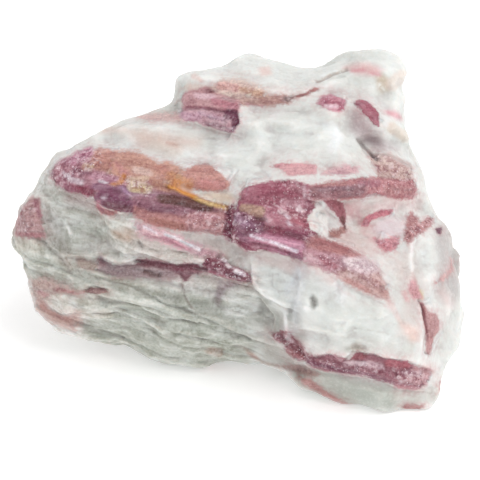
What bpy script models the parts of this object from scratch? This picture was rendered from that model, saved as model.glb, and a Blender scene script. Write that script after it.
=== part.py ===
"""Rubellite specimen: pink tourmaline crystals grown through a broken lump of white feldspar and quartz.

The stone is described in its face frame, in millimetres: U runs along the length, V up the show
face and W out of it. The face leans back by FACE_TILT from lying flat, and the stone rests on a
break that is cut at floor height. World +Z is up and the origin is the bottom centre of the box.
"""

import math
from typing import NamedTuple

import bmesh
import bpy
from mathutils import Matrix, Vector, noise
from mathutils.bvhtree import BVHTree
from mathutils.geometry import delaunay_2d_cdt

MM = 0.001
FACE_TILT = math.radians(55)
FACE_ORIGIN = Vector((0.307, -3.584, 24.0))  # where U = V = W = 0 lies in the world
EDGE_WALL = 5.0  # height along W of the blunt edge between the front and the back
VOXEL = 0.9
MATRIX_TRIANGLES = 4200
POCKET_GAP = 0.3  # between a crystal and whatever it is set in
CRYSTAL_SIDES = 9
THREE_FOLD = 0.13  # how far a crystal's section leans from round to three-sided
END_SLANT = 0.35  # slope of the broken ends

BEDDING_DIP = math.radians(-10)  # of the layers, down towards +U
LAYER_THICKNESS = 5.5
LAYER_STEP = 0.9
FACET_SIZE = Vector((10.0, 5.0, 8.0))  # of the cleaved faces: along the layers, across, through
FACET_SLOPE = 1.5
FACET_STEP = 1.1
LUMP_SIZE = 9.0
LUMP_HEIGHT = 0.6
GRAIN_SIZE = 3.0
GRAIN_HEIGHT = 0.3

MINERALS = {  # name: (colour, roughness)
    "feldspar": ((0.78, 0.79, 0.75), 0.6),
    "rose_tourmaline": ((0.38, 0.15, 0.19), 0.4),
    "purple_tourmaline": ((0.24, 0.09, 0.13), 0.35),
    "salmon_tourmaline": ((0.52, 0.24, 0.2), 0.5),
}
PURPLE_CRYSTALS = {"left_crystals"}
SALMON_CRYSTALS = {"salmon_crystals", "salmon_lobe_crystal", "salmon_band", "lower_left_crystals"}

# The edge of the show face, clockwise from the notch at the top left. (U, V, W)
RIM = [
    (-13.4, 28.1, -4), (-12.8, 33, -4), (-10, 33.9, -4), (-2.8, 34.6, -5), (-1.6, 37, -5),
    (1, 38, -6), (4.8, 38.2, -6), (8.2, 37.2, -6), (12.4, 36.6, -6), (17, 36.1, -6),
    (21.2, 37.4, -6), (23.6, 38.5, -5), (28.4, 39.3, -5), (32.9, 37.9, -4), (34.8, 35.6, -3),
    (32.6, 30.2, -2), (32.8, 26, -2), (34.8, 21, -2), (36.5, 17.2, -1), (38, 13.1, -1),
    (37.8, 8.2, 0), (39.9, 6, 0), (41.9, 4.6, 0), (43.2, 0.8, 0), (44.2, -2.8, 0),
    (45.5, -8.5, 0), (45.2, -14.4, 1), (45, -18.8, 2), (43.8, -23.1, 3), (40.9, -25.2, 4),
    (39.7, -28.6, 6), (39.5, -31.6, 7), (38.9, -34.3, 8), (32.2, -35.4, 8), (28.6, -36.8, 8.2),
    (25.4, -35, 8), (21.2, -32.8, 7), (17, -31, 6), (13, -29.3, 5), (9.8, -26.4, 3),
    (7.2, -25.8, 1), (3.4, -25.8, -1), (-1.4, -23.9, -2), (-5.2, -24, -3), (-9.4, -25.6, -3),
    (-13.8, -25.2, -3), (-18.6, -23.8, -3), (-22.4, -22, -3), (-25.4, -21.3, -3),
    (-30.2, -20.2, -3), (-33.4, -19.3, -3), (-38.6, -17.6, -3), (-42, -14.1, -2),
    (-43, -9.6, -1), (-44.1, -5.4, 0), (-45, -2.8, 0), (-44.6, 4, 0), (-44.2, 6.5, 0),
    (-40.9, 9.7, 0), (-40.8, 12.9, 0), (-37.8, 17, -1), (-34.9, 19.7, -1), (-30.6, 19.5, -1),
    (-28, 22.8, -2), (-23.6, 24.8, -3), (-19.8, 25.9, -3), (-16.2, 26.9, -4),
]

# Break lines of the show face: the surface is flat between them. (U, V, W)
FRONT_LINES = {
    "top shoulder": [
        (-10.6, 31.4, 0), (-5.6, 32.4, 0), (0, 34.6, -1), (4.4, 34.9, 0), (10, 32.8, 0),
        (16, 33.2, 0), (22, 35.2, -1), (28, 36, -1), (30.8, 34, 0), (30.6, 28, 2), (31.2, 22, 3),
    ],
    "upper ledge lip": [
        (-9.6, 30.6, 0.5), (-5, 31, 2), (2, 30.4, 3.2), (9, 29.6, 4.2), (14, 30.4, 4.2), (19, 32, 3.4),
    ],
    "upper ledge foot": [
        (-10.4, 28.4, -1.5), (-5, 28, 0), (2, 27.4, 1.6), (9.2, 26.6, 3), (14.4, 27.6, 3),
        (19.8, 30.2, 2.6),
    ],
    "below the upper crystals": [(-12, 24, 1), (-6, 22.8, 2.6), (0, 21.2, 4)],
    "white mass edge": [(0.4, 27.4, 4.4), (1.4, 24.4, 6), (0.6, 21.6, 5.6)],
    "white mass crown": [(10, 24, 8.5), (18, 25, 8.5), (24, 27, 6.5)],
    "white mass belly": [(4.4, 17, 9), (12, 18, 11.5), (21, 19, 9.5)],
    "right crack": [(24.6, 23, 6), (26.4, 18.4, 5), (28.6, 15.6, 5.5)],
    "upper right": [(28, 22, 5.5), (30.4, 17, 7), (33, 13.6, 5), (34.4, 10.4, 5)],
    "left upper face": [(-34, 15.6, 3.5), (-26, 16, 7), (-18, 15.4, 9), (-10, 15, 10), (-3, 13, 11)],
    "left upper brow": [(-30, 17.8, 2), (-22, 20.4, 3.5), (-14, 21.4, 4)],
    "left ridge": [
        (-37, 10, 4.5), (-32, 9.4, 8.5), (-27, 8.4, 11), (-21, 7, 12.5), (-14, 6, 13), (-7, 5, 13.5),
        (-1, 4, 14),
    ],
    "centre crest": [(0, 9, 13), (8, 10.4, 14), (16, 9.6, 13.5), (26, 10, 11), (34.6, 9.4, 5.6)],
    "right valley": [(14.6, 5.4, 12), (21, 3, 10.5), (28, 4.6, 8.5), (35, 5.4, 4.6)],
    "centre ridge": [(0, 0, 16), (7, -2, 18), (14, -4, 19), (21, -7, 19), (28, -9.6, 17)],
    "centre right": [(24, -1, 13.5), (30, -2, 12.6), (33.4, -5, 13.5)],
    "below the left crystals": [(-38.4, 7, 3), (-34, 4.6, 4.6), (-29.4, 3.4, 6), (-27.4, 0.6, 7)],
    "left ledge lip": [
        (-27.6, 3.2, 10), (-23, -1, 12), (-16, -3, 12.6), (-8, -3.6, 13), (-1.4, -5.2, 14.4),
    ],
    "left ledge foot": [
        (-29, -1, 5.4), (-23.6, -3.8, 7.6), (-16, -5.4, 8.6), (-8, -6.2, 9), (-1, -8, 10),
    ],
    "left tip": [(-42, 5, 3), (-42.2, 0, 4), (-40.6, -4.4, 3.6)],
    "left face": [
        (-37, -5, 5), (-30, -7, 7), (-22, -9.4, 8), (-14, -11, 8.5), (-6, -13, 9), (1, -17, 9),
    ],
    "left strata lip": [
        (-34, -8.6, 7), (-28, -9.8, 8.6), (-20, -11.8, 9.6), (-12, -14.8, 9.8), (-4, -17.4, 9.4),
    ],
    "left strata foot": [
        (-34.6, -10.2, 4.6), (-28, -11.8, 6), (-20.6, -13.8, 6.8), (-13, -16.6, 6.8), (-5, -19.2, 6.6),
    ],
    "left foot": [
        (-39, -11, 2), (-34, -14.4, 4.6), (-26, -15.6, 5.6), (-18, -18.2, 5.6), (-10, -20.6, 4.8),
        (-2, -21.4, 4.6),
    ],
    "white belly edge": [(1.6, -6.4, 16), (4.6, -10.4, 16.6), (9.4, -14.4, 17), (8.4, -18, 15)],
    "white belly foot": [(0.4, -10.2, 10.6), (3.4, -12.6, 10.6), (6.6, -16.2, 10.6), (6.6, -20.8, 9)],
    "white belly": [(13, -12, 19.6), (20, -14, 20), (28, -16, 18.6), (33.4, -18.4, 15.6)],
    "slot top": [(10.6, -20.4, 14), (14, -22, 15.4), (20, -22.4, 16.4), (28, -23.6, 16), (35, -24.6, 13)],
    "slot foot": [
        (9.4, -22.4, 9), (14, -24.2, 10), (20, -24.8, 12), (28, -26, 12.6), (35.4, -27.4, 10.6),
    ],
    "bottom lip": [(14.6, -27, 11), (20, -28, 13), (28, -29.4, 13.6), (36, -30.4, 11)],
    "right ridge": [
        (34, 2.4, 8.6), (34.6, -2.4, 12), (34.6, -9.6, 14), (35.6, -15, 13.6), (36.4, -21.6, 12.4),
    ],
    "right crack slot": [(36.4, -10.4, 9.4), (37.4, -15, 9.6), (37.8, -20.4, 9)],
    "right face": [(39, 0.4, 6.4), (41, -8, 6.6), (41.2, -15.4, 6.4), (39.2, -22, 8)],
}

# Break lines of the back and the underside, which face away along W.
BACK_LINES = {
    "back shoulder": [(-9, 31, -12), (0, 33, -15), (10, 31, -18), (20, 32.6, -16), (29, 33.6, -13)],
    "upper back": [
        (-24, 20, -11), (-14, 21, -18), (-3, 23, -23), (9, 22, -26), (21, 24, -23), (30, 20, -17),
    ],
    "back ledge": [(-18, 15, -22), (-5, 17, -28), (10, 16, -31), (24, 15, -27), (33, 11, -19)],
    "middle back": [
        (-38, 9, -9), (-29, 9, -16), (-17, 5, -24), (-3, 5, -29), (12, 4, -31), (26, 4, -28),
        (37, 0, -19),
    ],
    "base back edge": [(-23, -7, -28), (-8, -8, -34), (9, -8, -36), (25, -9, -34), (37, -13, -26)],
    "base front edge": [
        (-19, -20, -18), (-5, -21, -16), (8, -24, -12), (22, -29, -6), (34, -31, -4), (38, -26, -10),
    ],
    "left underside": [(-38, -8, -11), (-31, -11, -15), (-25, -13, -20)],
    "left back": [(-41, 2, -9), (-32, 0, -17)],
    "right back": [(41, -6, -12), (41, -16, -9)],
}


class Prism(NamedTuple):
    """One crystal: its axis between two points of the face, and how deep it sits there."""

    start: tuple  # (U, V)
    end: tuple
    radius: float
    tip: float = 0.0  # radius at the end, where it differs
    sink: float = 0.45  # depth of the axis under the surface, in radii


# Crystals that grew together make one solid. Later ones grew round the earlier ones.
FRONT_CRYSTALS = {
    "centre_crystals": [
        Prism((0.4, 9.2), (14.4, 9.6), 2.9),
        Prism((-1.2, 3.6), (5, 5.4), 3.0),
        Prism((4.8, 5.2), (14.8, 5), 2.6),
        Prism((-2.4, 7), (-1.8, -0.8), 1.2),
        Prism((-1, 1.6), (12.6, -2.2), 2.1, sink=0.1),
        Prism((4.4, 2.6), (15.6, 1), 2.1, sink=0.2),
        Prism((12.6, 0.6), (21.6, -2.2), 1.7),
        Prism((12, -2.6), (21.4, -5), 2.5),
        Prism((19, -4), (28.4, -9.6), 3.2, 2.0),
    ],
    "left_crystals": [
        Prism((-37.2, 13.2), (-28.8, 12.6), 3.1),
        Prism((-35.4, 10), (-28.6, 9.2), 1.4, sink=0.1),
        Prism((-29.6, 9.6), (-21.2, 7.4), 2.7, sink=0.1),
        Prism((-22.4, 8.2), (-5.4, 6.8), 1.8, sink=0.2),
        Prism((-21.2, 5.8), (-9.6, 3.6), 1.7, sink=0.2),
        Prism((-10.8, 3.8), (-2.4, 2.8), 2.2),
    ],
    "upper_crystals": [
        Prism((-12, 28.2), (-0.8, 25.8), 1.8, sink=0.1),
        Prism((-11.6, 25.8), (-0.4, 23.2), 1.8, sink=0.1),
    ],
    "salmon_crystals": [
        Prism((-33.4, 17.4), (-28.6, 15.6), 2.0),
        Prism((-29.6, 16.4), (-24.8, 16.4), 2.2),
        Prism((-25.2, 15.8), (-12, 13.6), 2.2, sink=0.5),
        Prism((-26, 13.4), (-13.6, 11.4), 2.0, sink=0.5),
    ],
    "salmon_lobe_crystal": [Prism((-12.2, 12.8), (-1.6, 11.4), 2.7, sink=0.35)],
    "salmon_band": [
        Prism((-4.6, 29.4), (2.6, 28.8), 1.9),
        Prism((1.4, 28.6), (10, 28), 1.4, 1.1),
    ],
    "right_crystal": [
        Prism((14.6, 9.6), (25, 10.2), 2.0, sink=0.2),
        Prism((23.4, 10.4), (34.4, 10), 2.3, 1.8, sink=0.3),
        Prism((16.6, 8), (20.8, 2.6), 1.6, 0.6, sink=0.2),
    ],
    "right_upper_crystal": [Prism((26.4, 16), (34, 12.9), 1.9, sink=0.1)],
    "right_small_crystals": [Prism((24.4, 3.4), (30.4, 5.8), 1.3, sink=0.2)],
    "right_low_crystal": [Prism((27, 0.2), (31.4, -1.2), 1.6, sink=0.3)],
    "right_edge_crystal": [Prism((32.8, 0.8), (38.4, 4.4), 1.7, 1.1, sink=0.1)],
    "glint_crystal": [Prism((-20.4, 3.2), (-7.4, -1.8), 1.3)],
    "ledge_crystals": [
        Prism((-28.4, -4.8), (-15.8, -6.4), 1.4, sink=0.1),
        Prism((-18.6, -4.8), (-7.8, -6.2), 1.6, sink=0.1),
        Prism((-8.4, -4.6), (2.4, -7.6), 1.9, sink=0.2),
    ],
    "lower_crystals": [
        Prism((7.4, -18.4), (12.8, -22.8), 1.8),
        Prism((11.6, -23), (25, -24.8), 2.0, sink=0.1),
        Prism((23.4, -24), (37.2, -28.4), 2.3, 1.9, sink=0.2),
    ],
    "side_crystal": [
        Prism((35.6, -11.6), (38.6, -18.8), 1.8),
        Prism((38.6, -17.8), (37, -22.6), 1.6, 0.9),
    ],
    "left_tip_crystal": [Prism((-42, 5.8), (-40.6, 1), 2.8)],
    "lower_left_crystals": [
        Prism((-41.2, -9), (-33, -10.2), 1.5, 1.0),
        Prism((-40.4, -13), (-32.2, -16.6), 1.8, 1.3),
        Prism((-40.6, -9.4), (-40, -13.2), 1.2),
    ],
    "top_crystal": [Prism((16.4, 27.2), (20.8, 27.2), 1.8)],
    "top_right_crystal": [Prism((23.2, 27.4), (27.4, 23.2), 1.7, 1.3)],
}
BACK_CRYSTALS = {
    "back_upper_crystals": [
        Prism((-12, 25), (6, 26.4), 2.6, 2.1),
        Prism((-3, 22), (14, 24), 2.3),
    ],
    "back_right_crystals": [
        Prism((16, 12), (34, 9), 2.8, 2.2),
        Prism((20, 8.4), (33, 5.6), 2.2),
    ],
    "back_middle_crystals": [
        Prism((-20, 8), (2, 5), 2.7),
        Prism((-10, 3.4), (8, 1.4), 2.5, 2.0),
    ],
    "back_left_crystal": [Prism((-38, 5), (-29, 2.6), 2.4, 1.9)],
    "back_low_crystal": [Prism((12, 0.6), (30, -2), 2.6, 2.0)],
}


def face_to_world():
    """The matrix that carries a point of the face frame into the world, both in metres."""
    return Matrix.Translation(FACE_ORIGIN * MM) @ Matrix.Rotation(FACE_TILT, 4, "X")


def clear_scene():
    for obj in list(bpy.data.objects):
        bpy.data.objects.remove(obj)


def new_collection(name):
    collection = bpy.data.collections.new(name)
    bpy.context.scene.collection.children.link(collection)
    return collection


def add_object(name, data, collection):
    obj = bpy.data.objects.new(name, data)
    collection.objects.link(obj)
    return obj


def mineral(name):
    colour, roughness = MINERALS[name]
    material = bpy.data.materials.new(name)
    material.use_nodes = True
    shader = material.node_tree.nodes["Principled BSDF"]
    shader.inputs["Base Color"].default_value = (*colour, 1)
    shader.inputs["Roughness"].default_value = roughness
    shader.inputs["Metallic"].default_value = 0
    material.diffuse_color = (*colour, 1)
    return material


def tourmaline_of(name):
    if name in PURPLE_CRYSTALS:
        return "purple_tourmaline"
    if name in SALMON_CRYSTALS:
        return "salmon_tourmaline"
    return "rose_tourmaline"


def sheet(rim, lines):
    """Points and triangles of a surface seen along W: the rim, triangulated with its break lines."""
    points = [Vector(p) for p in rim]
    edges = []
    for line in lines.values():
        first = len(points)
        points += [Vector(p) for p in line]
        edges += [(i, i + 1) for i in range(first, len(points) - 1)]
    flat = [p.xy for p in points]
    outline = list(range(len(rim)))[::-1]
    _, _, triangles, made_of, _, _ = delaunay_2d_cdt(flat, edges, [outline], 1, 1e-5)
    return points, [[made_of[i][0] for i in t] for t in triangles]


def block_mesh(name):
    """The stone between the two sheets, with a blunt wall along the rim."""
    back_rim = [(u, v, w - EDGE_WALL) for u, v, w in RIM]
    front_points, front = sheet(RIM, FRONT_LINES)
    back_points, back = sheet(back_rim, BACK_LINES)
    mesh = bmesh.new()
    front_verts = [mesh.verts.new(p * MM) for p in front_points]
    back_verts = [mesh.verts.new(p * MM) for p in back_points]
    for triangle in front:
        mesh.faces.new([front_verts[i] for i in triangle])
    for triangle in back:
        mesh.faces.new([back_verts[i] for i in reversed(triangle)])
    for i in range(len(RIM)):
        j = (i + 1) % len(RIM)
        mesh.faces.new([front_verts[j], front_verts[i], back_verts[i], back_verts[j]])
    bmesh.ops.recalc_face_normals(mesh, faces=mesh.faces)
    data = bpy.data.meshes.new(name)
    mesh.to_mesh(data)
    mesh.free()
    return data


def evaluated(obj):
    """The object's mesh with its modifiers applied."""
    graph = bpy.context.evaluated_depsgraph_get()
    return bpy.data.meshes.new_from_object(obj.evaluated_get(graph))


def apply_modifiers(obj):
    data = evaluated(obj)
    obj.modifiers.clear()
    obj.data = data


def layer_height(bedded, point):
    """Steps where the layers of the stone end one above the other."""
    wander = noise.noise(point / 14) * 3.5
    phase = ((bedded.y + 0.35 * bedded.z + wander) / LAYER_THICKNESS) % 1
    step = phase if phase < 0.8 else 4 * (1 - phase)
    strength = 0.5 + 0.5 * noise.noise(point / 20 + Vector((5, 1, 9)))
    return LAYER_STEP * (step - 0.5) * strength


def facet_height(bedded):
    """Flat cleaved faces, each with its own tilt, with small steps between them."""
    place = Vector(a / b for a, b in zip(bedded, FACET_SIZE))
    _, seeds = noise.voronoi(place)
    tilt = noise.cell_vector(seeds[0] * 37.3) - Vector((0.5, 0.5, 0.5))
    step = noise.cell(seeds[0] * 53.1) - 0.5
    return FACET_SLOPE * tilt.dot(place - seeds[0]) + FACET_STEP * step


def remesh(obj):
    modifier = obj.modifiers.new("Remesh", "REMESH")
    modifier.mode = "VOXEL"
    modifier.voxel_size = VOXEL * MM
    apply_modifiers(obj)


def break_height(point):
    """How far the rough break stands off the plain surface at a point in mm."""
    bedded = Matrix.Rotation(-BEDDING_DIP, 3, "Z") @ point
    lump = LUMP_HEIGHT * noise.noise(point / LUMP_SIZE)
    grain = GRAIN_HEIGHT * noise.noise(point / GRAIN_SIZE)
    return layer_height(bedded, point) + facet_height(bedded) + lump + grain


def roughen(data):
    moved = [v.co + v.normal * break_height(v.co / MM) * MM for v in data.vertices]
    for vertex, place in zip(data.vertices, moved):
        vertex.co = place


def cut_base(data):
    """Cuts the stone flat at floor height."""
    to_face = face_to_world().inverted()
    mesh = bmesh.new()
    mesh.from_mesh(data)
    cut = bmesh.ops.bisect_plane(
        mesh,
        geom=mesh.verts[:] + mesh.edges[:] + mesh.faces[:],
        plane_co=to_face @ Vector((0, 0, 0)),
        plane_no=to_face.to_3x3() @ Vector((0, 0, -1)),
        clear_outer=True,
    )
    rim = [e for e in cut["geom_cut"] if isinstance(e, bmesh.types.BMEdge)]
    bmesh.ops.holes_fill(mesh, edges=rim)
    bmesh.ops.triangulate(mesh, faces=mesh.faces)
    mesh.to_mesh(data)
    mesh.free()


def make_stone(collection, material):
    obj = add_object("matrix", block_mesh("matrix"), collection)
    remesh(obj)
    roughen(obj.data)
    remesh(obj)
    decimate = obj.modifiers.new("Decimate", "DECIMATE")
    decimate.ratio = MATRIX_TRIANGLES / (2 * len(obj.data.polygons))
    apply_modifiers(obj)
    cut_base(obj.data)
    obj.data.materials.append(material)
    return obj


def surface_probe(data, side):
    """A function that gives the surface point of the stone over (U, V), seen from W * side."""
    mesh = bmesh.new()
    mesh.from_mesh(data)
    tree = BVHTree.FromBMesh(mesh)
    mesh.free()
    above = 100 * side

    def probe(place):
        hit, *_ = tree.ray_cast(Vector((*place, above)) * MM, Vector((0, 0, -side)))
        return hit / MM

    return probe


def prism_mesh(prism, probe, side, grow=0.0):
    """A three-sided-round column between two surface points, with slanted broken ends."""
    inward = Vector((0, 0, -side)) * prism.radius * prism.sink
    start = probe(prism.start) + inward
    end = probe(prism.end) + inward
    axis = end - start
    mesh = bmesh.new()
    bmesh.ops.create_cone(
        mesh,
        cap_ends=True,
        segments=CRYSTAL_SIDES,
        radius1=prism.radius + grow,
        radius2=(prism.tip or prism.radius) + grow,
        depth=axis.length + 2 * grow,
    )
    for vertex in mesh.verts:
        turn = math.atan2(vertex.co.y, vertex.co.x)
        vertex.co.xy *= 1 + THREE_FOLD * math.cos(3 * turn)
        vertex.co.z += END_SLANT * vertex.co.x
    upright = axis.to_track_quat("Z", "Y").to_matrix().to_4x4()
    middle = Matrix.Translation((start + end) / 2)
    mesh.transform(Matrix.Scale(MM, 4) @ middle @ upright)
    data = bpy.data.meshes.new("prism")
    mesh.to_mesh(data)
    mesh.free()
    return data


def combine(obj, other, operation):
    """Joins the other object to this one, or cuts it away."""
    modifier = obj.modifiers.new(operation.title(), "BOOLEAN")
    modifier.operation = operation
    modifier.object = other
    apply_modifiers(obj)


def drop_chips(obj):
    """Removes the slivers that the pockets cut loose, and keeps the one big body."""
    mesh = bmesh.new()
    mesh.from_mesh(obj.data)
    left = set(mesh.verts)
    bodies = []
    while left:
        body = {left.pop()}
        edge = list(body)
        while edge:
            near = {e.other_vert(v) for v in edge for e in v.link_edges} & left
            left -= near
            body |= near
            edge = list(near)
        bodies.append(body)
    bodies.sort(key=len)
    loose = [v for body in bodies[:-1] for v in body]
    bmesh.ops.delete(mesh, geom=loose, context="VERTS")
    mesh.to_mesh(obj.data)
    mesh.free()


def make_crystals(name, prisms, probe, side, collection, material):
    """One solid of all the prisms that grew together."""
    crystals = add_object(name, prism_mesh(prisms[0], probe, side), collection)
    for prism in prisms[1:]:
        other = add_object("prism", prism_mesh(prism, probe, side), collection)
        combine(crystals, other, "UNION")
        bpy.data.objects.remove(other)
    crystals.data.materials.append(material)
    return crystals


def main():
    clear_scene()
    stone_parts = new_collection("rubellite_specimen")
    cutters = new_collection("pockets")
    minerals = {name: mineral(name) for name in MINERALS}
    matrix = make_stone(stone_parts, minerals["feldspar"])
    parts = [matrix]
    pockets = []
    for side, group in ((1, FRONT_CRYSTALS), (-1, BACK_CRYSTALS)):
        probe = surface_probe(matrix.data, side)
        for name, prisms in group.items():
            material = minerals[tourmaline_of(name)]
            crystals = make_crystals(name, prisms, probe, side, stone_parts, material)
            for pocket in pockets:
                combine(crystals, pocket, "DIFFERENCE")
            for prism in prisms:
                room = prism_mesh(prism, probe, side, POCKET_GAP)
                pockets.append(add_object("pocket", room, cutters))
            parts.append(crystals)
    for pocket in pockets:
        combine(matrix, pocket, "DIFFERENCE")
        bpy.data.objects.remove(pocket)
    for part in parts:
        drop_chips(part)
        part.matrix_world = face_to_world()


main()
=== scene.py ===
"""Looks of the rubellite specimen: white feldspar and quartz crossed by pink tourmaline crystals.

Shapes are placed in the stone's face frame, in millimetres: U runs to the right along the show
face, V up the face and W out of it, towards the camera. The marks of the show face are drawn on
a grid of GRID cells to a millimetre, with X to the right and Y down.
"""

import math
from typing import NamedTuple

import bmesh
import bpy
import numpy as np
from mathutils import Matrix, Vector, noise
from mathutils.bvhtree import BVHTree
from mathutils.kdtree import KDTree

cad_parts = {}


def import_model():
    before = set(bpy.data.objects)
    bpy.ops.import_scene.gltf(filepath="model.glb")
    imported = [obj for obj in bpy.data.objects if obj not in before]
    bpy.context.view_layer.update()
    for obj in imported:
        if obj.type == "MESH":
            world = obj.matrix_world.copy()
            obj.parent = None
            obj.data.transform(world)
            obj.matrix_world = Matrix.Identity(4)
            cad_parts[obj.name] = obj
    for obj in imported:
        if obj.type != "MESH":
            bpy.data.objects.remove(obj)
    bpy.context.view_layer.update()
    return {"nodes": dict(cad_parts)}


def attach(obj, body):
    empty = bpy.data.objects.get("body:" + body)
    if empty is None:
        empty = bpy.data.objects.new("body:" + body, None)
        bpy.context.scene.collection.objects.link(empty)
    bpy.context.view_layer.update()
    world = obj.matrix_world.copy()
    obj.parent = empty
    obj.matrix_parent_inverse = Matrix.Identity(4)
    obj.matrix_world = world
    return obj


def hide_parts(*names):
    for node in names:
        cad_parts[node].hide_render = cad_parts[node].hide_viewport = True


MM = 0.001
FACE_TILT = math.radians(55)
FACE_ORIGIN = Vector((0.307, -3.584, 24.0))  # where U = V = W = 0 lies in the world
CAMERA_DISTANCE = 1200.0
PICTURE_WIDTH = 96.0  # across the face frame
SENSOR_WIDTH = 36.0
GRID = 5.0  # drawing cells to a millimetre
GRID_CENTRE = np.array([240.0, 240.0])  # the cell where U = V = 0 lies

# Meshes, in millimetres
ROCK_VOXEL = 0.33
CRYSTAL_VOXEL = 0.27
CRYSTAL_SWELL = 0.4  # closes the gap between a crystal and the stone in the joined skin
CRYSTAL_GROWTH = 0.3  # lets crystals that stand side by side meet
CARPET_STEPS = 60  # of smoothing
CARPET_NEAR = 1.2  # how near a crystal the skin is smoothed most
CARPET_FAR = 3.5  # beyond this it is smoothed least
CARPET_LEAST = 0.3  # share of the smoothing that is left there
CRYSTAL_SINK = 0.1  # how far the stone lies under the smoothed skin where crystals cross it
CRYSTAL_LIFT = 0.06  # how far a crystal stands above the smoothed skin
EDGE_DIP = 0.35  # how far it dips under the skin at its edge
PRESS = 0.97  # how near a crystal's shown side comes to the skin, so that no two points meet
RIM_HEIGHT = 0.2  # how near the skin a point of a crystal counts as its rim
CROSSING = (0.5, 0.2)  # gaps to the nearest crystal between which stone gives way to crystal
BURIED_TO_SHOWN = (-0.5, -0.1)  # heights over the skin between which a crystal's side is shown
EDGE_BAND = (0.45, -0.1)  # heights over the skin between which a crystal's edge dips
STONE_TRIANGLES = 195000

# Relief, in millimetres unless a comment says otherwise
BEDDING_DIP = math.radians(-11)
BLADE = np.array([2.6, 1.0, 1.6])  # shape of the cleaved faces: along, up and through the layers
LAYERS = ((3.6, 0.42, 1), (1.5, 0.12, 2))  # thickness, height and seed
CLEAVAGE = ((2.4, 0.14, 0.12, 3), (0.9, 0.08, 0.06, 4))  # size, slope, step and seed
LAYER_WANDER = 3.2  # how far the layers wave up and down
LAYER_EDGE = 0.75  # share of a layer's thickness over which it rises, before it drops
LIP_HEIGHT = 0.35
LIP_WIDTH = 2.2  # of a ledge's radius
DROP_WIDTH = 2.4  # of a ledge's radius
DROP_START = 1.5  # cells over which the drop below a ledge sets in
PATCH_SLOPE = 3.0  # cells over which a raised patch gains its height
FRONT_DEPTH = (-14, -8)  # W between which the back gives way to the show face
CRUMB_SIZE = 0.9
RECESS_STEPS = 14  # of smoothing, against which hollows and ridges are measured
RECESS_DEPTH = 0.5
BUMP_DEPTH = 0.05

# Paint, in cells of the drawing grid
REACH = 40.0  # from a mark, beyond which nothing is worked out for it
WARP_SIZE = 12.0  # of the waves that move drawn edges about
PATCH_BLEND = 1.0  # over which the colours of neighbouring patches blend
DEEP = 6.0  # inside an outline, beyond which a patch claims no more
GROUND_DEPTH = 2.0  # outside a crystal's outline, where the ground's colour takes over
SUGAR_EDGE = 12.0  # over which sugar and calm areas fade
HALO_WIDTH = 7.0  # over which the pink around a crystal fades
CRYSTAL_MARK_EDGE = 1.2  # softness of the strokes, to each side of their outlines
STONE_MARK_EDGE = 1.6
SHADE_EDGE = 6.0
TINT_SHARE = 0.9  # of the drawn colours, which makes up for light brighter than one


class Patch(NamedTuple):
    """A mark with an outline on the drawing grid."""

    outline: list
    colour: tuple
    edge: float = 8.0  # cells over which its cover goes from none to full
    lift: float = 0.0  # millimetres that it stands above what is around it


class Stroke(NamedTuple):
    """A mark along a line of the drawing grid.

    The strength is a height in millimetres for relief and a share for colour.
    """

    line: list
    radius: float
    strength: float = 1.0
    colour: tuple = (0, 0, 0)


def patches(*rows):
    return [Patch(*row) for row in rows]


def strokes(*rows):
    return [Stroke(*row) for row in rows]


# ---------------------------------------------------------------------------------------------
# The show face's own ledges, grooves and ridges

LEDGES = strokes(  # the lip is above the line and its shadow below
    ([(75, 257), (98, 256), (120, 264), (138, 258), (150, 259), (176, 263), (200, 262)], 4, 1.1),
    ([(77, 312), (100, 311), (122, 312), (142, 319), (160, 331), (180, 333), (202, 338)], 3, 0.8),
    ([(105, 296), (134, 303), (148, 310), (162, 316), (182, 319), (196, 322)], 3, 0.7),
    ([(157, 297), (168, 303), (184, 305), (200, 314), (216, 321), (232, 330), (252, 338)], 3, 0.9),
    ([(252, 338), (270, 343), (284, 347)], 2.5, 0.5),
    ([(94, 274), (118, 281), (140, 286), (160, 292)], 2.5, 0.4),
    ([(80, 322), (110, 331), (140, 342)], 2.5, 0.5),
    ([(48, 243), (62, 254), (68, 264)], 3, 0.6),
    ([(300, 346), (307, 356), (330, 351), (340, 359), (350, 349), (362, 350), (385, 356)], 3, 0.7),
    ([(385, 356), (408, 359), (426, 367)], 3, 0.6),
    ([(100, 214), (120, 224), (140, 232), (158, 236)], 2.2, 0.5),
    ([(251, 270), (252, 282), (260, 292), (272, 300), (286, 306)], 2.2, 1),
    ([(306, 366), (330, 372), (350, 374), (380, 379), (398, 388), (416, 390)], 2.6, 0.6),
    ([(93, 196), (104, 208), (122, 214), (134, 212), (138, 206)], 2.4, 0.7),
    ([(62, 191), (78, 194), (92, 198)], 2.2, 0.5),
    ([(233, 238), (244, 250), (258, 252), (266, 248), (288, 255), (303, 261)], 2.2, 0.6),
    ([(184, 108), (204, 108), (222, 111), (238, 113)], 2, 0.45),
    ([(238, 113), (240, 124), (236, 129), (232, 134)], 2.4, 0.7),
    ([(182, 121), (196, 123), (214, 130), (232, 135)], 2.2, 0.45),
    ([(312, 201), (330, 201), (358, 200)], 2.2, 0.45),
    ([(172, 189), (192, 197), (208, 205), (224, 209)], 2.4, 0.6),
    ([(330, 275), (346, 284), (362, 292), (376, 299)], 2.2, 0.4),
    ([(306, 222), (312, 231), (318, 235), (327, 235)], 2.2, 0.5),
)
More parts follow.
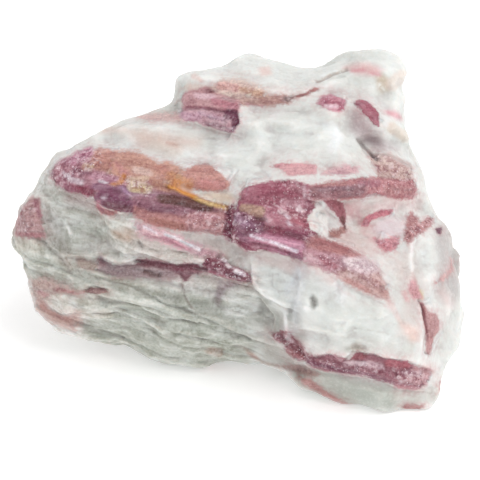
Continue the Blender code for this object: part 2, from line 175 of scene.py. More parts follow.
GROOVES = strokes(
    ([(292, 97), (303, 94), (318, 89)], 2, 0.4),
    ([(316, 80), (330, 75), (347, 68)], 2, 0.6),
    ([(358, 140), (365, 149), (373, 156)], 1.8, 0.45),
    ([(418, 300), (423, 318), (425, 340), (425, 352)], 2, 0.6),
    ([(181, 275), (185, 296), (192, 308)], 1.6, 0.2),
    ([(86, 290), (96, 287), (107, 290)], 2.2, 0.6),
    ([(205, 350), (222, 354)], 7, 0.3),
    ([(311, 297), (313, 304)], 3, 0.5),
    ([(256, 217), (263, 218)], 2.6, 0.7),
    ([(346, 348), (362, 346)], 4, 0.4),
    ([(139, 243), (142, 249)], 2, 0.5),
    ([(146, 270), (160, 276)], 3, 0.6),
    ([(228, 208), (226, 224), (230, 240)], 2.2, 0.5),
)
RIDGES = strokes(
    ([(412, 236), (409, 250), (410, 266), (408, 285)], 3, 0.35),
    ([(300, 270), (298, 296), (292, 320)], 2.4, 0.25),
    ([(66, 222), (70, 232)], 2, 0.4),
    ([(418, 302), (424, 328), (426, 350)], 1.6, 0.35),
)

# ---------------------------------------------------------------------------------------------
# Colours of the minerals on the show face

FELDSPAR = (233, 235, 232)
PLUM = (106, 40, 66)
MAGENTA = (150, 72, 98)
ROSE = (188, 122, 134)
PINK = (212, 156, 166)
MAUVE = (152, 104, 128)
LILAC = (206, 172, 196)
# the white of painted glints
GLINT_WHITE = (244, 232, 240)
SALMON = (206, 144, 132)
AMBER = (222, 148, 56)
HONEY = (222, 176, 124)
BRICK = (180, 122, 118)
UMBER = (116, 82, 80)
SHELL = (226, 188, 188)
FROST = (240, 240, 238)
CHALK = (230, 228, 218)
PALE_GREEN = (200, 204, 196)
MOSS = (184, 187, 176)
SLATE = (160, 162, 154)
ASH = (198, 196, 198)
BLUSH = (230, 208, 205)
RUST = (176, 150, 136)

CRYSTALS = patches(
    # upper left
    ([(135, 116), (150, 114), (166, 115), (182, 113), (184, 120), (168, 121), (150, 120)], (224, 190, 186),
      16),
    ([(181, 100), (184, 93), (193, 91), (208, 93), (223, 95), (237, 100), (238, 112), (222, 111),
      (204, 108), (184, 108)], (202, 154, 158), 5, 0.3),
    ([(180, 113), (185, 109), (204, 109), (222, 112), (238, 113), (240, 124), (236, 128), (233, 134),
      (220, 130), (208, 126), (196, 122), (184, 121)], (214, 170, 180), 5, 0.25),
    ([(215, 84), (222, 80), (236, 80), (246, 81), (256, 86), (268, 92), (262, 99), (250, 99), (238, 98),
      (226, 95), (217, 92)], (236, 212, 200), 16),
    ([(240, 98), (262, 96), (276, 95), (288, 95), (293, 99), (288, 104), (276, 106), (260, 106),
      (248, 104)], (214, 178, 168), 10),
    ([(290, 98), (303, 94), (316, 88), (318, 90), (304, 96), (292, 100)], BRICK, 6),
    # left head, block and tip
    ([(51, 175), (55, 165), (62, 160), (70, 157), (78, 152), (92, 147), (95, 154), (92, 162), (97, 170),
      (96, 178), (92, 185), (80, 187), (66, 187), (56, 184)], (196, 142, 154), 10, 0.1),
    ([(62, 186), (78, 187), (93, 186), (97, 197), (88, 196), (76, 193), (66, 191)], MAGENTA, 8),
    ([(88, 178), (98, 172), (112, 174), (126, 178), (129, 185), (118, 183), (104, 181), (93, 184)],
      (216, 164, 178), 8),
    ([(93, 186), (102, 184), (112, 184), (122, 186), (131, 191), (135, 198), (136, 205), (132, 212),
      (122, 211), (112, 209), (103, 207), (97, 202), (94, 194)], (124, 54, 88), 4, 0.35),
    ([(97, 203), (104, 208), (112, 211), (120, 212), (112, 216), (103, 214), (98, 209)], (200, 140, 140),
      6),
    ([(15, 235), (15, 222), (20, 212), (26, 203), (34, 197), (40, 198), (40, 210), (42, 222), (46, 237),
      (30, 238)], (188, 146, 146), 10, 0.1),
    # salmon row
    ([(91, 165), (94, 152), (101, 148), (109, 149), (114, 155), (113, 161), (107, 169), (97, 170)],
      (206, 148, 136), 6, 0.1),
    ([(113, 153), (124, 150), (138, 153), (150, 159), (158, 164), (168, 163), (178, 167), (186, 174),
      (184, 184), (176, 192), (164, 190), (156, 185), (150, 178), (140, 175), (128, 175), (118, 177),
      (108, 175), (106, 170)], (208, 156, 140), 12),
    ([(182, 176), (189, 169), (198, 165), (208, 164), (215, 169), (222, 176), (231, 185), (226, 190),
      (214, 192), (200, 191), (186, 188)], (200, 142, 132), 8),
    # purple prism and what lies under it
    ([(127, 197), (140, 193), (156, 193), (172, 194), (188, 198), (204, 204), (216, 210), (206, 214),
      (190, 214), (180, 216), (160, 212), (140, 208), (134, 203)], (160, 108, 122), 8, 0.15),
    ([(134, 205), (150, 211), (168, 214), (182, 217), (186, 222), (184, 230), (172, 229), (158, 227),
      (146, 223), (137, 217)], (190, 132, 130), 8),
    ([(186, 224), (187, 215), (195, 211), (207, 212), (218, 213), (226, 215), (226, 226), (220, 231),
      (206, 232), (194, 231)], (186, 132, 134), 8, 0.15),
    ([(224, 220), (228, 208), (233, 204), (234, 214), (232, 224), (236, 234), (233, 242), (227, 236),
      (225, 228)], (140, 58, 84), 10),
    ([(136, 222), (150, 225), (168, 232), (186, 239), (205, 248), (223, 255), (216, 259), (200, 255),
      (182, 249), (165, 243), (148, 238), (138, 231)], (224, 182, 188), 14),
    # centre
    ([(240, 195), (245, 188), (256, 185), (268, 183), (284, 181), (298, 182), (308, 187), (310, 196),
      (304, 201), (296, 200), (286, 203), (275, 206), (262, 205), (248, 202), (241, 200)], (168, 92, 110),
      8, 0.1),
    ([(234, 213), (244, 213), (254, 217), (264, 222), (265, 232), (258, 237), (248, 243), (240, 241),
      (234, 232)], (142, 84, 106), 10),
    ([(262, 206), (278, 206), (286, 202), (298, 199), (306, 202), (308, 210), (312, 220), (313, 231),
      (300, 230), (284, 227), (266, 226), (262, 216)], (184, 120, 134), 10),
    ([(264, 226), (276, 225), (290, 229), (304, 230), (312, 234), (310, 241), (298, 240), (284, 236),
      (268, 233)], (146, 62, 90), 7),
    ([(237, 238), (246, 234), (258, 233), (274, 236), (290, 240), (302, 243), (303, 252), (302, 260),
      (292, 258), (288, 253), (275, 249), (262, 245), (250, 243)], (188, 114, 140), 5, 0.25),
    ([(233, 238), (242, 240), (252, 242), (264, 245), (266, 248), (256, 251), (246, 250), (238, 245)],
      (146, 66, 90), 6),
    ([(304, 235), (320, 238), (336, 243), (350, 249), (360, 255), (350, 258), (336, 254), (320, 250),
      (306, 246)], (184, 122, 122), 8),
    ([(300, 250), (312, 249), (328, 253), (344, 257), (342, 268), (334, 274), (322, 268), (310, 264),
      (303, 258)], (192, 140, 150), 12),
    ([(340, 258), (354, 255), (366, 259), (374, 265), (376, 273), (364, 274), (350, 270), (341, 266)],
      (222, 196, 200), 18),
    ([(330, 268), (344, 268), (360, 274), (376, 272), (383, 282), (387, 298), (376, 298), (362, 291),
      (348, 284), (338, 277)], (204, 168, 164), 9),
    # right crystal and its neighbours
    ([(310, 187), (320, 184), (334, 185), (348, 180), (362, 178), (378, 179), (396, 180), (412, 182),
      (417, 190), (412, 199), (398, 199), (384, 196), (372, 194), (360, 199), (344, 199), (328, 200),
      (314, 200)], (192, 128, 132), 7, 0.15),
    ([(322, 201), (332, 200), (343, 203), (344, 214), (345, 229), (341, 224), (335, 215), (328, 208)],
      (168, 98, 108), 5),
    ([(327, 232), (336, 230), (344, 226), (346, 230), (338, 237), (330, 238)], (176, 126, 120), 8),
    ([(368, 156), (376, 154), (388, 157), (400, 162), (410, 168), (412, 176), (404, 180), (390, 178),
      (378, 177), (374, 168)], (214, 184, 176), 14),
    ([(361, 226), (364, 218), (370, 214), (381, 210), (392, 210), (390, 215), (380, 217), (372, 220),
      (367, 226)], (206, 126, 138), 6),
    ([(373, 238), (380, 240), (388, 238), (397, 237), (398, 244), (393, 249), (384, 252), (377, 246)],
      (208, 140, 148), 9),
    ([(403, 240), (404, 228), (406, 217), (411, 213), (417, 218), (420, 224), (428, 217), (434, 219),
      (430, 226), (421, 232), (412, 238), (407, 243)], (196, 142, 142), 10),
    ([(270, 167), (276, 164), (316, 165), (315, 175), (288, 176), (281, 170)], (218, 164, 168), 5),
    ([(320, 174), (334, 168), (346, 166), (357, 168), (356, 173), (344, 176)], (226, 184, 188), 9),
    ([(435, 229), (441, 228), (441, 234), (437, 234)], PLUM, 4),
    # under the ledge
    ([(75, 259), (84, 258), (93, 262), (100, 268), (94, 271), (84, 268)], (180, 162, 152), 12),
    ([(98, 262), (101, 256), (108, 262), (118, 268), (132, 269), (144, 268), (152, 272), (156, 278),
      (140, 277), (124, 277), (108, 274), (98, 270)], (160, 136, 138), 10),
    ([(138, 259), (148, 259), (160, 260), (176, 265), (186, 263), (198, 264), (208, 270), (194, 272),
      (190, 278), (186, 282), (180, 276), (172, 270), (156, 267), (142, 265)], (144, 94, 104), 7),
    ([(142, 268), (156, 268), (172, 271), (180, 277), (170, 279), (158, 279)], (176, 152, 154), 12),
    ([(203, 264), (207, 257), (216, 256), (224, 258), (232, 265), (242, 269), (249, 274), (252, 281),
      (242, 281), (230, 278), (218, 276), (209, 270)], (150, 84, 100), 6, 0.15),
    # lower right
    ([(272, 333), (280, 330), (290, 333), (298, 338), (304, 350), (309, 357), (302, 360), (294, 357),
      (287, 352), (284, 344), (275, 339)], (142, 86, 94), 8),
    ([(306, 356), (318, 357), (328, 352), (337, 355), (348, 358), (356, 350), (364, 352), (376, 355),
      (392, 359), (406, 359), (410, 368), (404, 378), (392, 381), (380, 378), (366, 375), (350, 373),
      (330, 371), (314, 367), (306, 362)], (158, 100, 112), 7, 0.15),
    ([(388, 374), (402, 370), (414, 366), (428, 367), (429, 374), (424, 383), (414, 389), (404, 389),
      (394, 386)], (198, 150, 154), 8),
    ([(284, 366), (300, 366), (318, 372), (312, 375), (298, 372)], (168, 136, 130), 10),
    ([(298, 375), (310, 379), (324, 389), (336, 397), (346, 403), (336, 401), (320, 393), (306, 385)],
      (180, 132, 128), 9),
    ([(400, 406), (406, 403), (422, 405), (418, 409), (405, 409)], (184, 136, 134), 8),
    ([(438, 380), (442, 380), (441, 393), (438, 391)], (196, 142, 140), 6),
    ([(416, 301), (422, 303), (426, 311), (434, 313), (438, 322), (437, 331), (431, 338), (430, 346),
      (428, 354), (425, 353), (425, 340), (423, 325), (420, 310)], (198, 152, 152), 5),
    ([(407, 290), (409, 280), (414, 281), (417, 290), (420, 298), (413, 298)], (214, 160, 164), 8),
    ([(433, 283), (441, 277), (449, 268), (451, 258), (453, 260), (452, 270), (443, 280)], (210, 166, 164),
      9),
    # lower left
    ([(31, 282), (41, 279), (53, 281), (64, 286), (78, 291), (86, 292), (80, 295), (66, 294), (54, 293),
      (46, 299), (38, 300), (33, 293)], (200, 172, 165), 14),
    ([(84, 292), (90, 288), (98, 287), (105, 288), (109, 292), (98, 294)], (156, 118, 114), 4),
    ([(37, 299), (44, 300), (49, 308), (56, 313), (66, 316), (76, 313), (81, 323), (74, 330), (62, 326),
      (48, 320), (39, 311)], (200, 168, 160), 15),
    # upper right
    ([(317, 104), (322, 97), (330, 95), (341, 98), (346, 102), (343, 110), (338, 112), (328, 110)],
      (204, 132, 148), 7, 0.1),
    ([(354, 103), (359, 100), (367, 102), (373, 108), (378, 114), (378, 127), (373, 124), (367, 117),
      (360, 113)], (174, 90, 108), 5, 0.15),
)
GROUND = patches(  # what fills the seams between neighbouring crystals
    ([(92, 184), (96, 152), (128, 152), (156, 166), (186, 172), (176, 192), (196, 196), (222, 205),
      (236, 208), (236, 238), (226, 236), (206, 232), (184, 231), (150, 226), (134, 213), (112, 211),
      (98, 202)], (192, 140, 140)),
    ([(236, 206), (244, 190), (262, 186), (300, 184), (314, 188), (314, 232), (322, 244), (304, 256),
      (290, 256), (250, 246), (234, 236)], (182, 118, 138)),
    ([(302, 238), (322, 240), (350, 250), (376, 264), (386, 296), (374, 296), (334, 274), (304, 260)],
      (212, 164, 170), 12),
    ([(312, 190), (320, 184), (376, 178), (372, 158), (404, 164), (412, 174), (416, 196), (372, 194),
      (314, 200)], (200, 150, 148), 10),
    ([(182, 112), (184, 92), (214, 86), (240, 96), (292, 97), (286, 104), (240, 106), (238, 118)],
      (200, 146, 146), 8),
    ([(54, 178), (64, 162), (92, 150), (96, 178), (96, 192), (66, 188)], (190, 130, 146)),
    ([(98, 258), (112, 266), (148, 262), (200, 266), (232, 266), (250, 276), (190, 274), (150, 277),
      (102, 272)], (166, 138, 142)),
    ([(282, 334), (306, 354), (340, 358), (408, 362), (426, 370), (400, 384), (376, 378), (350, 372),
      (306, 360)], (170, 114, 124)),
)
CALM = strokes(  # crystals with a smooth break
    ([(104, 158), (140, 168), (180, 178), (220, 184)], 16),
    ([(270, 170), (356, 170)], 8),
    ([(104, 267), (150, 272)], 8, 0.7),
    ([(100, 192), (130, 202)], 8, 0.8),
    ([(318, 260), (376, 282)], 14, 0.6),
    ([(218, 86), (286, 100)], 10, 0.7),
    ([(40, 288), (46, 308), (74, 322)], 12, 0.7),
)
CRYSTAL_MARKS = strokes(  # painted over the crystals, in this order
    # upper left
    # painted highlight on the upper prism
    ([(196, 95), (214, 98)], 2.4, 0.8, (232, 196, 206)),
    ([(214, 102), (234, 107)], 4, 0.7, (186, 104, 122)),
    ([(186, 107), (204, 108), (222, 111), (237, 112)], 1.5, 0.8, (144, 72, 94)),
    ([(183, 115), (198, 118)], 4, 0.8, (214, 170, 188)),
    ([(198, 113), (222, 120)], 2.2, 0.4, LILAC),
    # painted shadow at the right end of the upper prisms
    ([(228, 115), (237, 117), (236, 125)], 5, 1, (108, 40, 70)),
    ([(206, 127), (232, 131)], 3.6, 0.4, MAUVE),
    ([(220, 86), (236, 88)], 4.4, 0.6, (222, 160, 156)),
    ([(242, 90), (262, 95)], 3.4, 0.6, (224, 178, 138)),
    ([(262, 102), (286, 102)], 3, 0.5, (192, 140, 134)),
    ([(286, 99), (292, 100)], 2.6, 0.8, (140, 112, 112)),
    ([(247, 105), (264, 107)], 1.8, 0.6, PINK),
    # left head, block and tip
    ([(53, 168), (55, 182)], 2.6, 0.8, (132, 70, 88)),
    ([(60, 160), (70, 162)], 3, 0.6, (168, 98, 122)),
    ([(74, 160), (90, 151)], 5, 0.8, (208, 146, 168)),
    ([(64, 172), (65, 177)], 1.4, 0.8, (238, 222, 228)),
    ([(68, 176), (74, 181), (82, 183)], 2.8, 0.9, (230, 212, 220)),
    ([(62, 180), (70, 186)], 2.6, 0.5, (168, 96, 120)),
    ([(74, 171), (92, 174)], 2.4, 0.7, (144, 82, 104)),
    ([(86, 166), (93, 167)], 2.4, 0.6, (214, 184, 150)),
    ([(68, 188), (80, 190)], 2.4, 0.5, (166, 92, 112)),
    ([(80, 190), (94, 193)], 4, 0.9, (140, 52, 76)),
    ([(96, 177), (108, 179)], 3, 0.7, (226, 178, 194)),
    # painted glint
    ([(101, 182), (106, 183)], 1.2, 0.9, GLINT_WHITE),
    ([(108, 180), (114, 182)], 2.4, 0.5, (170, 100, 126)),
    ([(94, 187), (110, 187)], 2.4, 0.5, (166, 108, 138)),
    # painted shade along the purple block's lower front edge
    ([(108, 205), (120, 208), (131, 209)], 3.2, 0.95, (104, 30, 56)),
    ([(124, 189), (132, 195)], 2.4, 0.6, (176, 140, 172)),
    # painted glint
    ([(105, 198), (106, 199)], 1, 0.7, GLINT_WHITE),
    ([(99, 204), (103, 209)], 2.6, 0.7, (204, 130, 146)),
    ([(36, 202), (40, 216)], 3, 0.5, MAGENTA),
    ([(18, 234), (40, 236)], 2.4, 0.6, (176, 106, 116)),
    # salmon row
    ([(113, 152), (115, 158), (110, 165)], 1.4, 0.7, (178, 116, 112)),
    ([(96, 152), (106, 151)], 2.4, 0.5, (222, 178, 168)),
    ([(114, 166), (124, 174)], 4.5, 0.7, (204, 134, 138)),
    ([(136, 170), (150, 174)], 3.6, 0.7, (230, 200, 192)),
    ([(160, 168), (170, 178)], 4, 0.5, (206, 138, 128)),
    ([(172, 178), (188, 186)], 6, 0.7, (214, 152, 104)),
    ([(204, 184), (222, 186)], 5, 0.6, (204, 130, 130)),
    ([(156, 184), (170, 190)], 4, 0.6, (186, 132, 110)),
    ([(130, 181), (146, 180)], 4, 0.7, (230, 202, 176)),
    ([(134, 187), (147, 190)], 5.5, 0.8, (230, 212, 184)),
    # purple prism and what lies under it
    ([(132, 195), (168, 195)], 1.6, 0.7, (176, 134, 152)),
    ([(138, 203), (160, 206)], 3.4, 0.5, (144, 86, 108)),
    ([(162, 199), (180, 201), (208, 208)], 5, 0.9, (94, 44, 34)),
    ([(150, 209), (176, 211)], 2.4, 0.6, (120, 66, 88)),
    ([(152, 220), (182, 227)], 3.4, 0.7, (176, 116, 104)),
    ([(192, 216), (216, 217)], 3, 0.6, (224, 172, 178)),
    ([(228, 210), (229, 232)], 2.6, 0.5, (118, 44, 72)),
    ([(166, 238), (190, 248)], 2.8, 0.7, (206, 142, 158)),
    # painted glints along the glint crystal
    ([(104, 215), (120, 224), (137, 231)], 1.1, 0.9, GLINT_WHITE),
    ([(145, 227), (158, 233)], 1.2, 0.9, GLINT_WHITE),
    ([(166, 234), (182, 241), (200, 249)], 1.5, 1, (250, 240, 244)),
    # centre
    ([(262, 190), (282, 190)], 5, 0.6, (156, 66, 92)),
    ([(248, 195), (256, 199)], 2.4, 0.4, (200, 140, 154)),
    ([(243, 208), (252, 209), (261, 211)], 4, 0.85, (190, 156, 132)),
    ([(250, 213), (261, 216)], 2.4, 0.8, (168, 128, 110)),
    ([(290, 186), (306, 192)], 4.5, 0.6, (186, 132, 142)),
    ([(303, 187), (305, 198)], 1.6, 0.7, (222, 200, 206)),
    ([(282, 204), (302, 203)], 4, 0.7, (218, 170, 180)),
    ([(280, 212), (286, 214)], 2.4, 0.7, (228, 204, 208)),
    ([(297, 208), (302, 212)], 2.2, 0.7, (232, 206, 210)),
    ([(270, 208), (276, 222)], 3.6, 0.4, (180, 104, 122)),
    ([(264, 218), (270, 221)], 2.2, 0.6, (220, 180, 188)),
    ([(290, 216), (308, 224)], 5, 0.5, (190, 100, 114)),
    # painted glints
    ([(286, 216), (288, 218)], 1.4, 1, GLINT_WHITE),
    ([(287, 223), (289, 225)], 1.3, 0.9, GLINT_WHITE),
    ([(266, 228), (282, 230)], 2.6, 0.8, (134, 42, 70)),
    ([(286, 234), (308, 238)], 3, 0.7, (122, 58, 80)),
    ([(238, 218), (246, 226)], 4, 0.5, (204, 170, 192)),
    ([(250, 224), (258, 232)], 3.4, 0.4, (140, 92, 124)),
    ([(237, 230), (242, 238)], 3, 0.4, (150, 80, 110)),
    ([(256, 236), (280, 240), (300, 246)], 3, 0.6, (216, 160, 182)),
    # painted reflection along the highlight prism
    ([(251, 236), (264, 240), (282, 246), (296, 251)], 1.5, 1, (248, 234, 244)),
    ([(252, 242), (264, 245), (276, 248), (289, 253)], 1.1, 1, (124, 36, 66)),
    ([(232, 236), (241, 243)], 1.6, 0.9, (120, 34, 62)),
    ([(252, 246), (258, 247)], 1.6, 0.6, (226, 176, 188)),
    ([(290, 254), (301, 258)], 3, 0.9, (124, 52, 82)),
    # painted shadow beside the tan spot
    ([(256, 219), (263, 221)], 1.6, 0.8, (104, 56, 62)),
    ([(308, 240), (330, 243), (346, 249)], 2.2, 0.5, (164, 96, 100)),
    ([(306, 256), (318, 262)], 3, 0.6, (232, 196, 202)),
    ([(318, 260), (334, 266)], 2.2, 0.6, (190, 110, 122)),
    ([(350, 262), (368, 266)], 4, 0.6, (234, 218, 220)),
    ([(344, 279), (366, 290)], 3, 0.6, (182, 120, 116)),
    ([(372, 280), (382, 292)], 4, 0.5, (202, 152, 146)),
    # right crystal and its neighbours
    ([(314, 193), (336, 193), (360, 190)], 6, 0.8, (150, 102, 110)),
    ([(318, 190), (352, 188)], 1.3, 0.7, (160, 120, 132)),
    ([(322, 185), (344, 184)], 1.6, 0.6, (176, 124, 118)),
    ([(358, 184), (376, 184)], 3.4, 0.6, (158, 92, 112)),
    ([(386, 190), (408, 191)], 4.4, 0.5, (178, 126, 124)),
    ([(341, 218), (345, 228)], 2.2, 0.9, (116, 66, 66)),
    ([(369, 153), (376, 159)], 2.2, 0.9, (126, 110, 106)),
    ([(378, 168), (396, 172)], 4, 0.5, (190, 140, 138)),
    ([(408, 226), (412, 236)], 3, 0.5, (164, 96, 98)),
    ([(380, 242), (388, 246)], 2.6, 0.5, (192, 110, 124)),
    ([(272, 165), (300, 165)], 1.2, 0.6, (206, 130, 138)),
    # under the ledge
    ([(99, 260), (104, 264)], 2.4, 0.7, (140, 100, 106)),
    ([(146, 272), (160, 276)], 2.2, 0.8, UMBER),
    ([(150, 262), (172, 265)], 1.8, 0.6, (132, 66, 84)),
    ([(178, 268), (196, 266)], 3.2, 0.8, (124, 56, 76)),
    ([(196, 268), (207, 270)], 1.6, 1, (92, 44, 56)),
    ([(228, 274), (250, 279)], 2.6, 0.9, (120, 54, 74)),
    ([(218, 258), (222, 252)], 2, 0.8, (110, 70, 76)),
    # painted glints on the crystals under the ledge
    ([(224, 259), (229, 261)], 2.6, 1, (252, 246, 248)),
    ([(227, 265), (231, 266)], 1.4, 0.9, (252, 246, 248)),
    ([(236, 270), (243, 274)], 2.3, 1, (252, 240, 246)),
    # lower right
    ([(274, 334), (282, 338)], 2.4, 0.7, (140, 84, 96)),
    ([(286, 336), (292, 340)], 1.8, 0.8, (236, 208, 214)),
    ([(288, 350), (302, 357)], 3, 0.7, (166, 98, 102)),
    ([(308, 361), (328, 366), (346, 370), (372, 375), (392, 383)], 2.4, 0.8, (132, 66, 90)),
    ([(344, 362), (366, 362), (380, 365)], 2.6, 0.8, (232, 204, 210)),
    ([(386, 362), (406, 363)], 3.6, 0.8, (186, 100, 112)),
    ([(348, 355), (362, 354)], 3.2, 0.9, (156, 84, 94)),
    ([(376, 370), (390, 376), (398, 383)], 2.2, 0.6, (158, 84, 100)),
    ([(404, 372), (420, 374)], 3.2, 0.6, (226, 200, 204)),
    ([(400, 384), (418, 387)], 2, 0.6, (178, 104, 118)),
    ([(419, 304), (423, 316), (425, 332)], 1.4, 0.9, (134, 58, 66)),
    ([(428, 338), (428, 352)], 2.2, 0.5, (206, 150, 150)),
    ([(434, 281), (439, 279)], 1.6, 0.7, (176, 116, 118)),
    # lower left
    ([(40, 292), (48, 296)], 2.4, 0.6, (202, 150, 152)),
    ([(56, 290), (72, 292), (84, 292)], 1.5, 0.8, (184, 128, 128)),
    ([(86, 289), (97, 287), (107, 290)], 1.3, 0.9, (120, 84, 84)),
    ([(42, 306), (54, 316), (70, 320)], 2.8, 0.6, (192, 138, 130)),
    # upper right
    ([(324, 100), (331, 101)], 2.4, 0.8, (184, 90, 116)),
    ([(338, 104), (342, 110)], 2.6, 0.8, (176, 86, 112)),
    ([(326, 107), (336, 108)], 1.8, 0.7, (240, 210, 220)),
    ([(358, 104), (370, 112), (376, 120)], 2.4, 0.6, (162, 78, 102)),
)
STONE_PATCHES = patches(  # crisp patches of stone, which also cover crystals
    ([(251, 268), (262, 265), (276, 268), (292, 276), (294, 286), (290, 300), (284, 306), (272, 300),
      (260, 292), (252, 282)], (224, 227, 225), 5, 0.1),
    # painted shade on the facet to the right of the white flake
    ([(296, 266), (303, 266), (301, 296), (294, 330), (286, 343), (285, 330), (289, 306), (293, 290)],
      (204, 207, 210), 18),
    # painted shade in a small pit
    ([(309, 298), (312, 294), (316, 298), (316, 304), (312, 309), (309, 305)], (158, 158, 153), 5),
    ([(215, 290), (219, 279), (230, 279), (243, 282), (234, 286), (226, 291), (222, 300), (219, 306),
      (215, 300)], (176, 162, 166), 6),
    ([(306, 219), (312, 210), (322, 203), (328, 213), (327, 234), (317, 234), (310, 230)], (238, 238, 234),
      4, 0.3),
    ([(370, 229), (378, 221), (390, 217), (403, 220), (405, 229), (400, 236), (388, 236), (376, 235)],
      (234, 222, 226), 11, 0.25),
    ([(43, 299), (50, 295), (58, 293), (66, 297), (70, 303), (76, 311), (70, 314), (61, 315), (53, 311),
      (47, 306)], (228, 227, 220), 5, 0.25),
    ([(188, 283), (193, 275), (202, 272), (212, 273), (217, 280), (216, 290), (204, 294), (192, 292)],
      (222, 220, 216), 7, 0.2),
    ([(222, 298), (228, 291), (240, 288), (254, 292), (262, 300), (256, 314), (240, 318), (226, 314)],
      (228, 230, 227), 10, 0.2),
    ([(112, 231), (124, 228), (136, 231), (140, 238), (130, 242), (118, 238)], (202, 180, 164), 9),
    ([(200, 195), (214, 192), (229, 193), (235, 199), (228, 204), (214, 203)], (234, 220, 202), 8),
    # painted shade above the lower crystals, along a groove
    ([(344, 348), (352, 344), (356, 341), (361, 346), (365, 349), (356, 350)], (180, 176, 164), 9),
    ([(97, 128), (104, 126), (118, 128), (120, 131), (112, 133), (102, 133)], (222, 202, 194), 10),
    ([(120, 128), (140, 133), (164, 138), (200, 140), (198, 146), (170, 146), (140, 140)], (229, 207, 198),
      18),
    ([(258, 68), (270, 65), (272, 74), (262, 76)], (236, 214, 208), 6),
    ([(343, 67), (352, 63), (366, 62), (376, 66), (382, 70), (378, 76), (368, 75), (356, 74)],
      (236, 200, 200), 10),
    ([(376, 77), (384, 74), (390, 80), (388, 91), (382, 93), (377, 88)], (206, 192, 174), 8),
    ([(384, 112), (392, 111), (398, 113), (402, 120), (396, 119)], (230, 180, 186), 8),
    ([(396, 317), (404, 322), (414, 326), (418, 332), (416, 339), (408, 340), (404, 332), (398, 324)],
      (236, 214, 206), 7),
    ([(346, 112), (358, 108), (368, 122), (376, 136), (396, 150), (378, 150), (362, 142), (350, 132)],
      (192, 178, 180), 14),
)
STONE_TONES_AND_SHADE = strokes(  # broad soft tones and painted shade, under the patches
    # layered lower left: grey-green tone, with painted shade of the face that turns down
    ([(56, 205), (85, 225), (112, 244)], 22, 0.85, (212, 215, 209)),
    ([(30, 250), (60, 265), (100, 285), (150, 305), (220, 330)], 26, 0.9, (197, 201, 193)),
    ([(100, 330), (150, 342), (200, 352), (240, 350)], 16, 0.7, MOSS),
    ([(44, 243), (60, 256), (66, 264)], 4, 0.7, MOSS),
    ([(94, 274), (118, 282), (140, 288), (160, 294)], 4, 0.6, MOSS),
    ([(134, 304), (162, 319), (196, 325), (226, 326)], 4, 0.7, MOSS),
    ([(160, 299), (184, 307), (204, 317), (232, 332), (256, 342), (284, 349)], 3.4, 0.7, SLATE),
    ([(110, 315), (142, 321), (160, 333), (202, 340)], 3, 0.4, SLATE),
    ([(80, 313), (108, 313)], 3, 0.6, (196, 182, 170)),
    ([(82, 324), (110, 334)], 3, 0.6, SLATE),
    ([(163, 296), (176, 300)], 3, 0.6, SLATE),
    ([(160, 284), (180, 294)], 5, 0.4, SLATE),
    ([(80, 296), (92, 300)], 6, 0.7, CHALK),
    ([(118, 248), (128, 252)], 5, 0.7, FROST),
    ([(88, 238), (100, 242)], 5, 0.5, FROST),
    ([(24, 246), (34, 246)], 8, 0.7, CHALK),
    ([(104, 216), (130, 226)], 5, 0.4, CHALK),
    ([(110, 240), (150, 248), (190, 256)], 8, 0.5, (208, 202, 196)),
    ([(62, 258), (70, 268)], 4, 0.6, (194, 178, 170)),
    ([(60, 210), (76, 214)], 6, 0.4, FROST),
    ([(48, 215), (62, 240)], 8, 0.4, ASH),
    # greyish faces: grey tone, with painted shade on the faces that turn down and away from the light
    ([(182, 88), (176, 104), (160, 112), (140, 116)], 6, 0.6, PALE_GREEN),
    # painted shade below the white flake, darkest just under its edge
    ([(246, 300), (268, 316), (284, 332)], 12, 0.8, (174, 176, 169)),
    ([(236, 284), (250, 291), (264, 300)], 3.4, 0.8, (142, 142, 130)),
    ([(306, 377), (340, 388), (384, 397)], 13, 0.8, (178, 184, 174)),
    ([(402, 396), (428, 392)], 10, 0.6, (212, 210, 203)),
    ([(446, 236), (450, 262), (448, 290)], 13, 0.9, (196, 192, 190)),
    ([(262, 360), (300, 368), (340, 376)], 2.4, 0.5, SLATE),
    # pink showing faintly through the white
    ([(345, 238), (372, 246)], 9, 0.7, BLUSH),
    ([(352, 212), (372, 230)], 8, 0.7, BLUSH),
    ([(380, 196), (415, 205)], 7, 0.5, BLUSH),
    ([(348, 208), (392, 206)], 4, 0.5, SHELL),
    ([(130, 236), (160, 250)], 8, 0.6, (196, 186, 180)),
    # painted shade beside the bright ridge below the flake
    ([(288, 318), (298, 338)], 8, 0.8, (184, 182, 178)),
    ([(306, 276), (330, 300)], 10, 0.6, (212, 214, 212)),
    ([(146, 140), (174, 146)], 10, 0.6, (220, 200, 190)),
    ([(46, 236), (62, 250)], 8, 0.7, (178, 174, 168)),
    ([(404, 262), (412, 300), (408, 330)], 12, 0.6, (220, 208, 204)),
    # painted shade on the stone under the crystals of the slot
    ([(222, 262), (250, 286)], 8, 0.9, (174, 168, 162)),
    ([(268, 352), (296, 364)], 7, 0.7, (172, 168, 160)),
    ([(224, 244), (242, 256)], 7, 0.7, (190, 180, 176)),
    ([(72, 198), (98, 206)], 6, 0.7, (186, 164, 164)),
    ([(192, 236), (214, 246)], 7, 0.6, (196, 180, 176)),
    # painted light where the relief shades the stone
    ([(196, 146), (216, 158)], 12, 0.6, (248, 250, 248)),
    ([(200, 252), (222, 258)], 5, 0.6, (216, 192, 190)),
    ([(262, 258), (300, 268)], 8, 0.8, (212, 198, 196)),
    ([(316, 262), (330, 276)], 6, 0.5, BLUSH),
    ([(228, 205), (236, 214)], 4, 0.5, BLUSH),
    ([(425, 366), (432, 370)], 4, 0.7, BLUSH),
    ([(440, 292), (450, 304)], 5, 0.6, BLUSH),
    ([(386, 262), (400, 270)], 7, 0.3, BLUSH),
)
